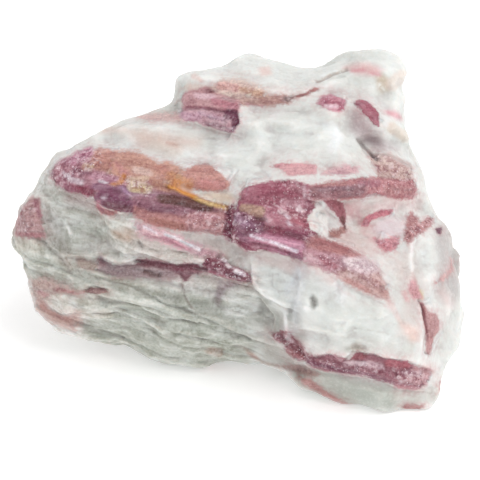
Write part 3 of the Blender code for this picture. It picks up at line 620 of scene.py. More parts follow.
STONE_MARKS = strokes(  # crisp marks, over the patches
    # painted glint on a grey facet
    ([(66, 222), (70, 233)], 1.3, 0.9, FROST),
    ([(182, 276), (186, 298), (193, 308)], 0.8, 0.6, (168, 148, 142)),
    ([(188, 276), (200, 284), (196, 292)], 1, 0.4, SLATE),
    ([(360, 143), (366, 150), (373, 156)], 1.3, 0.7, (150, 142, 140)),
    ([(340, 324), (344, 320)], 2, 0.4, ASH),
    # painted highlight along the ridge
    ([(411, 242), (409, 256), (410, 270)], 1.6, 0.8, (250, 250, 250)),
    ([(328, 128), (338, 138), (332, 148)], 6, 0.6, (248, 250, 252)),
    # painted highlight along the lit edge of the white flake
    ([(252, 271), (254, 282), (264, 295), (283, 303)], 1.2, 0.7, (250, 251, 250)),
    # painted shade across the flake's facets
    ([(286, 292), (297, 272)], 3, 0.4, (222, 228, 234)),
    # painted shade between the pale cleavage lines
    ([(338, 282), (339, 300)], 4, 0.4, (220, 222, 224)),
    ([(334, 280), (336, 301)], 0.9, 0.8, (250, 252, 252)),
    ([(340, 279), (341, 305)], 0.9, 0.8, (250, 252, 252)),
    ([(345, 284), (344, 296)], 0.8, 0.7, (250, 252, 252)),
    # painted highlight on the ridge below the flake
    ([(284, 308), (286, 330)], 1.6, 0.8, (250, 251, 250)),
    # painted shadow beside that ridge
    ([(289, 310), (290, 326)], 2.6, 0.7, (184, 185, 181)),
    # painted glint in the pit
    ([(304, 307), (307, 309)], 1.6, 1, (255, 255, 255)),
    # painted highlight on the lit edge of the crack
    ([(418, 304), (424, 328), (426, 350)], 1.6, 0.9, (246, 244, 240)),
    # stained places
    ([(210, 351), (219, 353)], 4.5, 0.7, RUST),
    ([(249, 353), (257, 358)], 2, 0.7, (192, 150, 144)),
    ([(244, 348), (262, 362), (284, 367)], 1.4, 0.6, RUST),
    ([(392, 84), (402, 76)], 7, 0.5, (226, 206, 194)),
    ([(392, 128), (404, 136)], 6, 0.6, (222, 206, 190)),
    ([(418, 291), (420, 297)], 2.2, 0.9, (226, 206, 170)),
    ([(318, 82), (330, 76), (346, 69)], 1.2, 0.7, RUST),
    ([(188, 87), (206, 90)], 4, 0.6, (232, 214, 202)),
    ([(194, 76), (200, 80)], 3, 0.6, (226, 196, 188)),
    ([(378, 154), (396, 158), (410, 165)], 1.4, 0.6, (176, 150, 142)),
    ([(384, 90), (380, 84)], 1.2, 0.8, FROST),
    # small pink flecks
    ([(352, 70), (364, 70)], 1.6, 0.7, (226, 150, 162)),
    ([(370, 72), (380, 75)], 1.6, 0.7, (226, 160, 168)),
    ([(386, 113), (400, 118)], 1.6, 0.6, (224, 156, 168)),
    ([(168, 143), (176, 146)], 2, 0.5, (206, 160, 146)),
    ([(347, 206), (352, 218)], 2.4, 0.5, (222, 176, 182)),
    ([(356, 212), (360, 224)], 2, 0.5, (210, 154, 164)),
    ([(362, 232), (372, 240)], 2.4, 0.4, (226, 188, 190)),
    ([(386, 300), (396, 316)], 3, 0.6, BLUSH),
    ([(402, 292), (406, 298)], 2.6, 0.8, SHELL),
)
STAINS = strokes(  # iron stain that lies over everything
    ([(122, 183), (125, 177)], 2.4, 0.8, AMBER),
    ([(114, 185), (120, 184)], 1.8, 0.6, AMBER),
    ([(135, 189), (144, 190)], 2.6, 0.5, (226, 194, 124)),
    ([(170, 187), (180, 191), (190, 195), (197, 199)], 2.3, 1, AMBER),
    ([(197, 199), (210, 204), (226, 208)], 2.2, 0.9, (216, 176, 104)),
    ([(176, 182), (190, 190)], 3.4, 0.6, (218, 146, 84)),
    ([(112, 162), (118, 174)], 2, 0.3, HONEY),
    ([(84, 168), (92, 169)], 3, 0.3, HONEY),
)
SUGAR = strokes(  # crystals broken into bright grains, where painted glints are also strewn
    ([(58, 176), (90, 158)], 14, 0.9),
    ([(100, 176), (124, 182)], 6, 0.8),
    ([(130, 182), (148, 190)], 7, 0.9),
    ([(190, 219), (224, 221)], 11, 0.7),
    ([(240, 216), (254, 228)], 8, 1),
    ([(268, 206), (310, 214), (308, 232)], 10, 0.8),
    ([(30, 202), (24, 228)], 12, 0.6),
    ([(374, 160), (410, 178)], 10, 0.8),
    ([(229, 208), (230, 240)], 8, 0.9),
    ([(398, 374), (424, 380)], 10, 0.9),
    ([(310, 362), (380, 368)], 8, 0.7),
    ([(204, 260), (250, 276)], 9, 0.9),
    ([(206, 128), (232, 131)], 5, 1),
    ([(190, 116), (238, 121)], 7, 0.5),
    ([(318, 104), (342, 103)], 10, 0.6),
    ([(406, 236), (430, 219)], 8, 0.8),
    ([(320, 260), (372, 276)], 12, 0.6),
    ([(330, 188), (410, 188)], 10, 0.5),
    ([(286, 184), (312, 200)], 10, 0.7),
    ([(276, 333), (304, 357)], 6, 0.8),
    ([(216, 84), (290, 100)], 8, 0.5),
    ([(366, 240), (396, 246)], 7, 0.6),
)
CRYSTAL_AXES = {  # where the prisms of each group start and end (U, V)
    "centre_crystals": [((0.4, 9.2), (14.4, 9.6)), ((-1.2, 3.6), (5, 5.4)), ((4.8, 5.2), (14.8, 5)),
                        ((-2.4, 7), (-1.8, -0.8)), ((-1, 1.6), (12.6, -2.2)), ((4.4, 2.6), (15.6, 1)),
                        ((12.6, 0.6), (21.6, -2.2)), ((12, -2.6), (21.4, -5)), ((19, -4), (28.4, -9.6))],
    "left_crystals": [((-37.2, 13.2), (-28.8, 12.6)), ((-35.4, 10), (-28.6, 9.2)),
                      ((-29.6, 9.6), (-21.2, 7.4)), ((-22.4, 8.2), (-5.4, 6.8)),
                      ((-21.2, 5.8), (-9.6, 3.6)), ((-10.8, 3.8), (-2.4, 2.8))],
    "upper_crystals": [((-12, 28.2), (-0.8, 25.8)), ((-11.6, 25.8), (-0.4, 23.2))],
    "salmon_crystals": [((-33.4, 17.4), (-28.6, 15.6)), ((-29.6, 16.4), (-24.8, 16.4)),
                        ((-25.2, 15.8), (-12, 13.6)), ((-26, 13.4), (-13.6, 11.4))],
    "salmon_lobe_crystal": [((-12.2, 12.8), (-1.6, 11.4))],
    "salmon_band": [((-4.6, 29.4), (2.6, 28.8)), ((1.4, 28.6), (10, 28))],
    "right_crystal": [((14.6, 9.6), (25, 10.2)), ((23.4, 10.4), (34.4, 10)), ((16.6, 8), (20.8, 2.6))],
    "right_upper_crystal": [((26.4, 16), (34, 12.9))],
    "right_small_crystals": [((24.4, 3.4), (30.4, 5.8))],
    "right_low_crystal": [((27, 0.2), (31.4, -1.2))],
    "right_edge_crystal": [((32.8, 0.8), (38.4, 4.4))],
    "glint_crystal": [((-20.4, 3.2), (-7.4, -1.8))],
    "ledge_crystals": [((-28.4, -4.8), (-15.8, -6.4)), ((-18.6, -4.8), (-7.8, -6.2)),
                       ((-8.4, -4.6), (2.4, -7.6))],
    "lower_crystals": [((7.4, -18.4), (12.8, -22.8)), ((11.6, -23), (25, -24.8)),
                       ((23.4, -24), (37.2, -28.4))],
    "side_crystal": [((35.6, -11.6), (38.6, -18.8)), ((38.6, -17.8), (37, -22.6))],
    "left_tip_crystal": [((-42, 5.8), (-40.6, 1))],
    "lower_left_crystals": [((-41.2, -9), (-33, -10.2)), ((-40.4, -13), (-32.2, -16.6))],
    "top_crystal": [((16.4, 27.2), (20.8, 27.2))],
    "top_right_crystal": [((23.2, 27.4), (27.4, 23.2))],
    "back_upper_crystals": [((-12, 25), (6, 26.4))],
    "back_right_crystals": [((16, 12), (34, 9)), ((20, 8.4), (33, 5.6))],
    "back_middle_crystals": [((-20, 8), (2, 5)), ((-10, 3.4), (8, 1.4))],
    "back_left_crystal": [((-38, 5), (-29, 2.6))],
    "back_low_crystal": [((12, 0.6), (30, -2))],
}
KINDS = {  # the crystals that aren't rose
    "left_crystals": "purple",
    "salmon_crystals": "salmon",
    "salmon_lobe_crystal": "salmon",
    "salmon_band": "salmon",
    "lower_left_crystals": "salmon",
}


# ---------------------------------------------------------------------------------------------
# Frames and meshes


def face_to_world():
    return Matrix.Translation(FACE_ORIGIN * MM) @ Matrix.Rotation(FACE_TILT, 4, "X")


def rows_of(items, key, width=3, kind=float):
    """One property of a mesh's vertices or edges, as rows."""
    flat = np.empty(len(items) * width, dtype=kind)
    items.foreach_get(key, flat)
    return flat.reshape(-1, width)


def points_of(mesh):
    """The mesh's vertices in millimetres."""
    return rows_of(mesh.vertices, "co") / MM


def normals_of(mesh):
    return rows_of(mesh.vertices, "normal")


def edges_of(mesh):
    return rows_of(mesh.edges, "vertices", 2, int)


def move_to(mesh, points):
    mesh.vertices.foreach_set("co", (points * MM).ravel())
    mesh.update()


def swell(mesh, distance):
    mesh.normal_update()
    moved = [v.co + v.normal * distance * MM for v in mesh.verts]
    for vertex, place in zip(mesh.verts, moved):
        vertex.co = place


def node_in_face_frame(node, growth=0.0):
    """A welded copy of a CAD node's mesh, in the face frame and grown on all sides."""
    mesh = bmesh.new()
    mesh.from_mesh(node.data)
    mesh.transform(face_to_world().inverted())
    bmesh.ops.remove_doubles(mesh, verts=mesh.verts, dist=1e-6)
    if growth:
        swell(mesh, growth)
    return mesh


def to_mesh(bm, name):
    data = bpy.data.meshes.new(name)
    bm.to_mesh(data)
    bm.free()
    return data


def joined(parts):
    """All the parts in one mesh."""
    whole = bmesh.new()
    for part in parts:
        data = to_mesh(part, "part")
        whole.from_mesh(data)
        bpy.data.meshes.remove(data)
    return whole


def modified(mesh, kind, **settings):
    """The mesh that a modifier makes of this one."""
    obj = bpy.data.objects.new("work", mesh)
    bpy.context.scene.collection.objects.link(obj)
    modifier = obj.modifiers.new("work", kind)
    for key, value in settings.items():
        setattr(modifier, key, value)
    graph = bpy.context.evaluated_depsgraph_get()
    result = bpy.data.meshes.new_from_object(obj.evaluated_get(graph))
    bpy.data.objects.remove(obj)
    return result


def voxel_mesh(mesh, size):
    return modified(mesh, "REMESH", mode="VOXEL", voxel_size=size * MM)


def thinned(mesh, triangles):
    """The mesh with no more triangles than that."""
    count = sum(len(p.vertices) - 2 for p in mesh.polygons)
    if count <= triangles:
        return mesh
    return modified(mesh, "DECIMATE", ratio=triangles / count)


def shell_from(start, unseen):
    """Takes all vertices that are joined to the start out of the unseen ones."""
    shell = [start]
    unseen.discard(start)
    for vertex in shell:
        for edge in vertex.link_edges:
            other = edge.other_vert(vertex)
            if other in unseen:
                unseen.discard(other)
                shell.append(other)
    return shell


def main_shell(mesh):
    """Deletes all but the largest shell, such as bubbles that the voxels left inside."""
    bm = bmesh.new()
    bm.from_mesh(mesh)
    unseen = set(bm.verts)
    shells = []
    while unseen:
        shells.append(shell_from(unseen.pop(), unseen))
    shells.sort(key=len)
    for shell in shells[:-1]:
        bmesh.ops.delete(bm, geom=shell, context="VERTS")
    bm.to_mesh(mesh)
    bm.free()
    return mesh


def relax(points, edges, weight, steps):
    """Draws each vertex towards the middle of its neighbours, as much as its weight says."""
    count = len(points)
    ends = np.concatenate([edges[:, 0], edges[:, 1]])
    others = np.concatenate([edges[:, 1], edges[:, 0]])
    valence = np.maximum(np.bincount(ends, minlength=count), 1)
    points = points.copy()
    for _ in range(steps):
        middle = np.stack(
            [np.bincount(ends, points[others, k], count) / valence for k in range(3)], axis=1
        )
        points += (middle - points) * 0.5 * weight[:, None]
    return points


def tree_of(mesh):
    bm = bmesh.new()
    bm.from_mesh(mesh)
    tree = BVHTree.FromBMesh(bm)
    bm.free()
    return tree


def nearest(points, tree):
    """Nearest surface points, their normals and the distances, all in millimetres."""
    hits = [tree.find_nearest(p) for p in (points * MM).tolist()]
    places = np.array([h[0] for h in hits]) / MM
    normals = np.array([h[1] for h in hits])
    distances = np.array([h[3] for h in hits]) / MM
    return places, normals, distances


def joined_skin(nodes):
    """One closed mesh around the stone and its crystals together."""
    parts = [node_in_face_frame(n, CRYSTAL_SWELL * (name != "matrix")) for name, n in nodes.items()]
    return voxel_mesh(to_mesh(joined(parts), "skin"), ROCK_VOXEL)


def crystal_tree(nodes):
    """A search tree of all the crystals."""
    whole = joined(node_in_face_frame(n) for name, n in nodes.items() if name != "matrix")
    tree = BVHTree.FromBMesh(whole)
    whole.free()
    return tree


# ---------------------------------------------------------------------------------------------
# Fields


def smooth(low, high, value):
    """Rises from 0 at low to 1 at high without a kink."""
    t = np.clip((value - low) / (high - low), 0, 1)
    return t * t * (3 - 2 * t)


def noise_at(points, size, seed):
    places = points / np.asarray(size) + seed * 7.31
    return np.array([noise.noise(p) for p in places.tolist()])


def rough(points, size, seed, octaves=3):
    """Noise of several sizes, each half as large and half as high as the last."""
    total = 0
    for octave in range(octaves):
        total = total + noise_at(points, np.asarray(size) / 2**octave, seed + octave) / 2**octave
    return total


def facets(points, size, slope, step, seed):
    """Flat cleaved faces, each with its own tilt and height."""
    heights = []
    for place in (points / np.asarray(size) + seed * 5.17).tolist():
        _, seeds = noise.voronoi(place)
        centre = seeds[0]
        tilt = noise.cell_vector(centre * 37.3)
        away = Vector(place) - centre
        height = slope * (away.x * (tilt.x - 0.5) + away.y * (tilt.y - 0.5) + away.z * (tilt.z - 0.5))
        heights.append(height + step * (noise.cell(centre * 53.1) - 0.5))
    return np.array(heights)


def bedded(points):
    """Coordinates along, up through and across the layers of the stone."""
    c, s = math.cos(BEDDING_DIP), math.sin(BEDDING_DIP)
    u, v, w = points.T
    return np.stack([c * u + s * v, c * v - s * u, w], axis=1)


def on_grid(points):
    """Where points lie on the drawing grid."""
    return points[:, :2] * GRID * (1, -1) + GRID_CENTRE


def warped(cells):
    """Cells moved about a little, so that no drawn edge is straight."""
    flat = np.column_stack([cells, np.zeros(len(cells))])
    shift = [rough(flat, WARP_SIZE, seed) for seed in (41, 42)]
    return cells + np.stack(shift, axis=1)


def close_to(cells, line):
    """Which cells lie within reach of the box around a line."""
    corners = np.array(line)
    return ((cells > corners.min(axis=0) - REACH) & (cells < corners.max(axis=0) + REACH)).all(axis=1)


def distance_to_line(cells, line):
    """Distance of each cell to a line, in cells, and 1 above the line or -1 below it."""
    best = np.full(len(cells), REACH)
    side = np.zeros(len(cells))
    near = close_to(cells, line)
    some = cells[near]
    for start, end in zip(line, line[1:]):
        a, run = np.array(start), np.array(end) - np.array(start)
        t = np.clip(((some - a) @ run) / (run @ run), 0, 1)
        away = some - a - t[:, None] * run
        distance = np.hypot(*away.T)
        cross = run[1] * away[:, 0] - run[0] * away[:, 1]
        closer = distance < best[near]
        best[near] = np.where(closer, distance, best[near])
        side[near] = np.where(closer, np.sign(cross), side[near])
    return best, side


def depth_inside(cells, outline):
    """Distance to an outline in cells, above zero inside it and below zero outside."""
    near = close_to(cells, outline)
    some = cells[near]
    ring = outline + outline[:1]
    distance, _ = distance_to_line(some, ring)
    within = np.zeros(len(some), dtype=bool)
    for (x0, y0), (x1, y1) in zip(ring, ring[1:]):
        if y0 != y1:
            level = (y0 > some[:, 1]) != (y1 > some[:, 1])
            crossing = x0 + (some[:, 1] - y0) * (x1 - x0) / (y1 - y0)
            within ^= level & (some[:, 0] < crossing)
    depth = np.full(len(cells), -REACH)
    depth[near] = np.where(within, distance, -distance)
    return depth


def grain_along(points, axes):
    """Coordinates along, across and out of the nearest prism's axis."""
    nearest_axis = np.full(len(points), np.inf)
    grain = np.zeros((len(points), 3))
    for start, end in axes:
        a, b = np.array(start), np.array(end)
        length = np.linalg.norm(b - a)
        run = (b - a) / length
        along = (points[:, :2] - a) @ run
        across = (points[:, 1] - a[1]) * run[0] - (points[:, 0] - a[0]) * run[1]
        beyond = np.maximum(np.maximum(-along, along - length), 0)
        distance = np.hypot(across, beyond)
        closer = distance < nearest_axis
        nearest_axis = np.where(closer, distance, nearest_axis)
        grain[closer] = np.stack([along + a[0], across + a[1], points[:, 2]], axis=1)[closer]
    return grain


def nearest_grain(points, normals):
    """The grain of the nearest prism on the same side of the stone."""
    sides = {True: [], False: []}
    for name, axes in CRYSTAL_AXES.items():
        sides[not name.startswith("back")] += axes
    shown = (normals[:, 2] > 0)[:, None]
    return np.where(shown, grain_along(points, sides[True]), grain_along(points, sides[False]))


def show_side(points, normals):
    """1 where the surface faces the camera, 0 on the back."""
    return smooth(-0.1, 0.25, normals[:, 2]) * smooth(*FRONT_DEPTH, points[:, 2])


# ---------------------------------------------------------------------------------------------
# Relief


def drawn_relief(cells):
    """Height of what is drawn on the show face: ledges, grooves, ridges and raised patches."""
    height = np.zeros(len(cells))
    for ledge in LEDGES:
        distance, side = distance_to_line(cells, ledge.line)
        lip = LIP_HEIGHT * np.exp(-((distance / (LIP_WIDTH * ledge.radius)) ** 2))
        drop = np.exp(-distance / (DROP_WIDTH * ledge.radius)) * np.tanh(distance / DROP_START)
        height += ledge.strength * (lip - drop * (side < 0))
    for sign, marks in ((-1, GROOVES), (1, RIDGES)):
        for stroke in marks:
            distance, _ = distance_to_line(cells, stroke.line)
            height += sign * stroke.strength * np.exp(-((distance / stroke.radius) ** 2))
    for patch in CRYSTALS + STONE_PATCHES:
        if patch.lift:
            height += patch.lift * smooth(-1, PATCH_SLOPE, depth_inside(cells, patch.outline))
    return height


def foliated(points):
    """How layered the break is: strong on the lower left, weak on the white masses."""
    u, v, _ = points.T
    left_face = smooth(2, -3, v + 0.35 * (u + 12)) * smooth(8, 2, u)
    return np.clip(0.1 + 0.9 * left_face, 0, 1)


def layers(points, thickness, seed):
    """Steps where the layers end one above the other, from 0 to 1."""
    wander = LAYER_WANDER * rough(points, (16, 10, 10), seed)
    phase = ((points[:, 1] + 0.5 * points[:, 2] + wander) / thickness) % 1
    return np.where(phase < LAYER_EDGE, phase / LAYER_EDGE, (1 - phase) / (1 - LAYER_EDGE))


def rock_relief(points):
    """The broken surface of feldspar and quartz: layers, cleaved faces and sugary crumbs."""
    bed = bedded(points)
    layered = foliated(points)
    height = np.zeros(len(points))
    for thickness, step, seed in LAYERS:
        height += layered * step * (layers(bed, thickness, seed) - 0.5)
    for size, slope, step, seed in CLEAVAGE:
        height += facets(bed, size * BLADE, slope, step, seed) * (0.5 + 0.5 * layered)
    height += 0.04 * rough(bed, 1.6 * BLADE, seed=5)
    return height + 0.05 * rough(points, CRUMB_SIZE, seed=8)


def crystal_relief(grain, points):
    """Striations along each prism, broken steps across it and grains."""
    height = 0.12 * rough(grain, (8, 1.1, 1.1), seed=21, octaves=2)
    height += facets(grain, (5.0, 1.2, 1.2), slope=0.06, step=0.07, seed=22)
    return height + 0.06 * rough(points, CRUMB_SIZE, seed=23, octaves=2)


def skin_relief(points, normals, gap):
    """Height of the broken surface over the smooth skin, the same for stone and crystals.

    Gap is how far each point lies from the nearest crystal.
    """
    front = show_side(points, normals)
    cells = warped(on_grid(points))
    drawn = smooth(0.4, 0.6, crystal_cover(cells))
    crystal = np.where(front > 0.5, drawn, smooth(0.6, 0.2, gap))
    height = rock_relief(points) * (1 - crystal)
    broken = crystal * (1 - 0.7 * strewn(cells, CALM))
    height += crystal_relief(nearest_grain(points, normals), points) * broken
    return height + front * drawn_relief(cells)


# ---------------------------------------------------------------------------------------------
# Paint


def linear(colour):
    """Light values of a colour given as 0 to 255 screen values."""
    return ((np.array(colour) / 255 + 0.055) / 1.055) ** 2.4


def mixed(colour, other, share):
    return linear(colour) + (linear(other) - linear(colour)) * share[:, None]


def faced(hidden, shown, front):
    """The shown side's values in front and the hidden side's elsewhere."""
    share = front if shown.ndim == 1 else front[:, None]
    return hidden + (shown - hidden) * share


def cover(cells, marks):
    """0 far outside the patches, a half on their edges and 1 well inside them."""
    best = np.zeros(len(cells))
    for patch in marks:
        inside = 0.5 + depth_inside(cells, patch.outline) / patch.edge
        best = np.maximum(best, np.clip(inside, 0, 1))
    return best


def crystal_cover(cells):
    return np.minimum(cover(cells, CRYSTALS + GROUND), 1 - cover(cells, STONE_PATCHES))


def hidden_cover(grain, rim):
    """How much is crystal on the hidden sides, where its outline is ragged."""
    ragged = 0.45 + 0.7 * rough(grain, (4, 1.3, 1.3), seed=31)
    outside = smooth(-1.2, -0.1, rim)
    return np.clip(outside * ragged + 0.55 * smooth(0, 1, rim), 0, 1)


def strewn(cells, marks):
    """How much of the strokes' marks lies on each cell, fading over their edges."""
    best = np.zeros(len(cells))
    for stroke in marks:
        distance, _ = distance_to_line(cells, stroke.line)
        inside = np.clip(0.5 + (stroke.radius - distance) / SUGAR_EDGE, 0, 1)
        best = np.maximum(best, inside * stroke.strength)
    return best


def halo(cells):
    """How near a point is to a crystal of the show face, from 0 far off to 1 on it."""
    best = np.zeros(len(cells))
    for patch in CRYSTALS:
        outside = np.maximum(-depth_inside(cells, patch.outline), 0)
        best = np.maximum(best, np.exp(-outside / HALO_WIDTH))
    return best


def patched(cells, base):
    """Each cell's colour is that of the crystal it lies deepest in, or else the base."""
    total = np.full(len(cells), math.exp(-REACH / 2 / PATCH_BLEND))
    tint = linear(base) * total[:, None]
    for marks, claim in ((CRYSTALS, 0.0), (GROUND, -DEEP - GROUND_DEPTH)):
        for patch in marks:
            depth = np.minimum(depth_inside(cells, patch.outline), DEEP) + claim
            weight = np.exp(depth / PATCH_BLEND)
            tint = tint + weight[:, None] * linear(patch.colour)
            total = total + weight
    return tint / total[:, None]


def laid(tint, cells, marks):
    """Colours after each patch is laid over those before it."""
    for patch in marks:
        half = patch.edge / 2
        share = smooth(-half, half, depth_inside(cells, patch.outline))[:, None]
        tint = tint + (linear(patch.colour) - tint) * share
    return tint


def brushed(tint, cells, marks, soft):
    """Colours after each stroke is laid over those before it, with edges that soft."""
    for stroke in marks:
        distance, _ = distance_to_line(cells, stroke.line)
        share = smooth(stroke.radius + soft, stroke.radius - soft, distance)[:, None]
        tint = tint + (linear(stroke.colour) - tint) * share * stroke.strength
    return tint


def crystal_tint(points, cells, base):
    """Colours of the crystals on the hidden sides and on the show face."""
    hidden = mixed(base, PINK, smooth(-0.3, 0.5, rough(points, 3.5, seed=33, octaves=2)))
    shown = brushed(patched(cells, base), cells, CRYSTAL_MARKS, CRYSTAL_MARK_EDGE)
    return hidden, brushed(shown, cells, STAINS, STONE_MARK_EDGE)


def stone_tint(bed, cells):
    """Colours of the stone on the hidden sides and on the show face."""
    hidden = mixed(FELDSPAR, PALE_GREEN, smooth(-0.2, 0.8, rough(bed, (16, 4, 7), seed=34)))
    hidden += mixed(FELDSPAR, BLUSH, smooth(0, 0.8, rough(bed, (12, 3, 5), seed=35))) - linear(FELDSPAR)
    shown = brushed(np.tile(linear(FELDSPAR), (len(cells), 1)), cells, STONE_TONES_AND_SHADE, SHADE_EDGE)
    shown = laid(shown, cells, STONE_PATCHES)
    shown = brushed(shown, cells, STONE_MARKS, STONE_MARK_EDGE)
    return hidden, brushed(shown, cells, STAINS, STONE_MARK_EDGE)


def recess(mesh, points, normals):
    """Above a half in hollows and below it on ridges."""
    relaxed = relax(points, edges_of(mesh), np.ones(len(points)), RECESS_STEPS)
    return np.clip(0.5 + ((relaxed - points) * normals).sum(axis=1) / RECESS_DEPTH, 0, 1)


def store(mesh, name, values):
    """Gives each vertex a value that the shaders can read."""
    kind, key = ("FLOAT", "value") if values.ndim == 1 else ("FLOAT_VECTOR", "vector")
    attribute = mesh.attributes.new(name, kind, "POINT")
    attribute.data.foreach_set(key, values.ravel())


def paint(mesh, rim, base):
    """Stores what the shaders read: colours, how much is crystal, grains and recesses.

    Rim is how far each point lies inside the line where a crystal leaves the stone, and base is
    that crystal's colour.
    """
    points = points_of(mesh)
    normals = normals_of(mesh)
    grain = nearest_grain(points, normals)
    cells = warped(on_grid(points))
    bed = bedded(points)
    front = show_side(points, normals)
    store(mesh, "crystal", faced(hidden_cover(grain, rim), crystal_cover(cells), front))
    store(mesh, "halo", faced(smooth(-3.5, -0.2, rim), halo(cells), front))
    store(mesh, "crystal_tint", TINT_SHARE * faced(*crystal_tint(points, cells, base), front))
    store(mesh, "stone_tint", TINT_SHARE * faced(*stone_tint(bed, cells), front))
    hidden_sugar = smooth(-0.2, 0.5, rough(points, 6, seed=36, octaves=2))
    store(mesh, "sugar", faced(hidden_sugar, strewn(cells, SUGAR), front))
    store(mesh, "layered", foliated(bed) * (0.4 + 0.6 * front))
    store(mesh, "recess", recess(mesh, points, normals))
    store(mesh, "grain", grain / (5, 1, 1))
    store(mesh, "place", points)


# ---------------------------------------------------------------------------------------------
# Pieces


def flatten_base(mesh):
    """Presses what the relief pushed through the floor back onto it."""
    to_world = np.array(face_to_world())
    world = points_of(mesh) * MM @ to_world[:3, :3].T + to_world[:3, 3]
    world[:, 2] = np.maximum(world[:, 2], 0)
    back = np.linalg.inv(to_world)
    move_to(mesh, (world @ back[:3, :3].T + back[:3, 3]) / MM)


def place_piece(name, mesh, material, node):
    mesh.transform(face_to_world())
    mesh.shade_smooth()
    mesh.materials.append(material)
    piece = bpy.data.objects.new(name, mesh)
    bpy.context.scene.collection.objects.link(piece)
    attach(piece, "root")
    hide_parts(node)


def make_stone(nodes, crystals):
    """Makes the stone and returns the smooth skin that its crystals are fitted to."""
    mesh = joined_skin(nodes)
    points = points_of(mesh)
    _, _, gap = nearest(points, crystals)
    slack = np.maximum(smooth(CARPET_FAR, CARPET_NEAR, gap), CARPET_LEAST)
    carpet = relax(points, edges_of(mesh), slack, CARPET_STEPS)
    move_to(mesh, carpet)
    tree = tree_of(mesh)
    normals = normals_of(mesh)
    height = skin_relief(carpet, normals, gap) - CRYSTAL_SINK * smooth(*CROSSING, gap)
    move_to(mesh, carpet + normals * height[:, None])
    mesh = thinned(mesh, STONE_TRIANGLES)
    flatten_base(mesh)
    _, _, gap = nearest(points_of(mesh), crystals)
    paint(mesh, CRYSTAL_GROWTH - gap, ROSE)
    feldspar = mineral("feldspar", roughness=0.55, coat=0.15, streaky=0.6)
    place_piece("stone", mesh, feldspar, "matrix")
    return tree


def inside_rim(places, height):
    """How far each point of a crystal lies from the line where it leaves the stone."""
    rim = places[np.abs(height) < RIM_HEIGHT]
    tree = KDTree(len(rim))
    for index, place in enumerate(rim.tolist()):
        tree.insert(place, index)
    tree.balance()
    distances = np.array([tree.find(place)[2] for place in places.tolist()])
    return np.where(height > 0, distances, 0)


def make_crystal(name, node, carpet, kind, base, material):
    """A crystal whose shown side follows the skin and whose edge dips under the stone."""
    solid = node_in_face_frame(node, CRYSTAL_GROWTH)
    mesh = main_shell(voxel_mesh(to_mesh(solid, name), CRYSTAL_VOXEL))
    points = points_of(mesh)
    places, normals, _ = nearest(points, carpet)
    height = ((points - places) * normals).sum(axis=1)
    relief = skin_relief(places, normals, np.zeros(len(points)))
    level = CRYSTAL_LIFT + relief - EDGE_DIP * smooth(*EDGE_BAND, height)
    shown = PRESS * smooth(*BURIED_TO_SHOWN, height)[:, None]
    move_to(mesh, points + (places + normals * level[:, None] - points) * shown)
    paint(mesh, inside_rim(places, height), base)
    place_piece("looks_" + name, mesh, material, name)


# ---------------------------------------------------------------------------------------------
# Materials

TEXTURES = {  # name: (coordinates, scale, detail, roughness)
    "streak": ("grain", 2.0, 6, 0.6),
    "broad": ("grain", 0.6, 4, 0.55),
    "crumb": ("place", 1.9, 6, 0.65),
    "cloud": ("place", 0.14, 5, 0.55),
    "patch": ("place", 0.75, 4, 0.6),
    "lump": ("place", 0.4, 3, 0.5),
    "speck": ("place", 1.25, 3, 0.6),
    "fine": ("place", 5.5, 3, 0.6),
}
GRAIN_SCALE = 2.2  # sparkling grains to a millimetre
SPARKLE = 1.3  # how far the grains' faces lean from the surface
CRYSTAL_CAST = (0.94, 1.0, 0.98, 1)  # takes a little red out of all crystals
DUSK = (190, 152, 168)  # multiplied into a crystal's dark places
GLOW = (1.35, 1.3, 1.35, 1)  # multiplied into its light places
SURFACE = {
    "Coat Roughness": 0.12,
    "Specular IOR Level": 0.35,
    "Subsurface Weight": 0.7,
    "Subsurface Scale": 0.002,
    "Subsurface Radius": (1.0, 0.8, 0.7),
}
PAPER = {
    "Base Color": (0.99, 0.99, 0.99, 1),
    "Roughness": 0.9,
    "Specular IOR Level": 0.1,
    "Emission Color": (1, 1, 1, 1),
    "Emission Strength": 0.2,
}


def srgb(red, green, blue):
    """A shader's colour for 0 to 255 screen values."""
    return (*linear((red, green, blue)), 1.0)


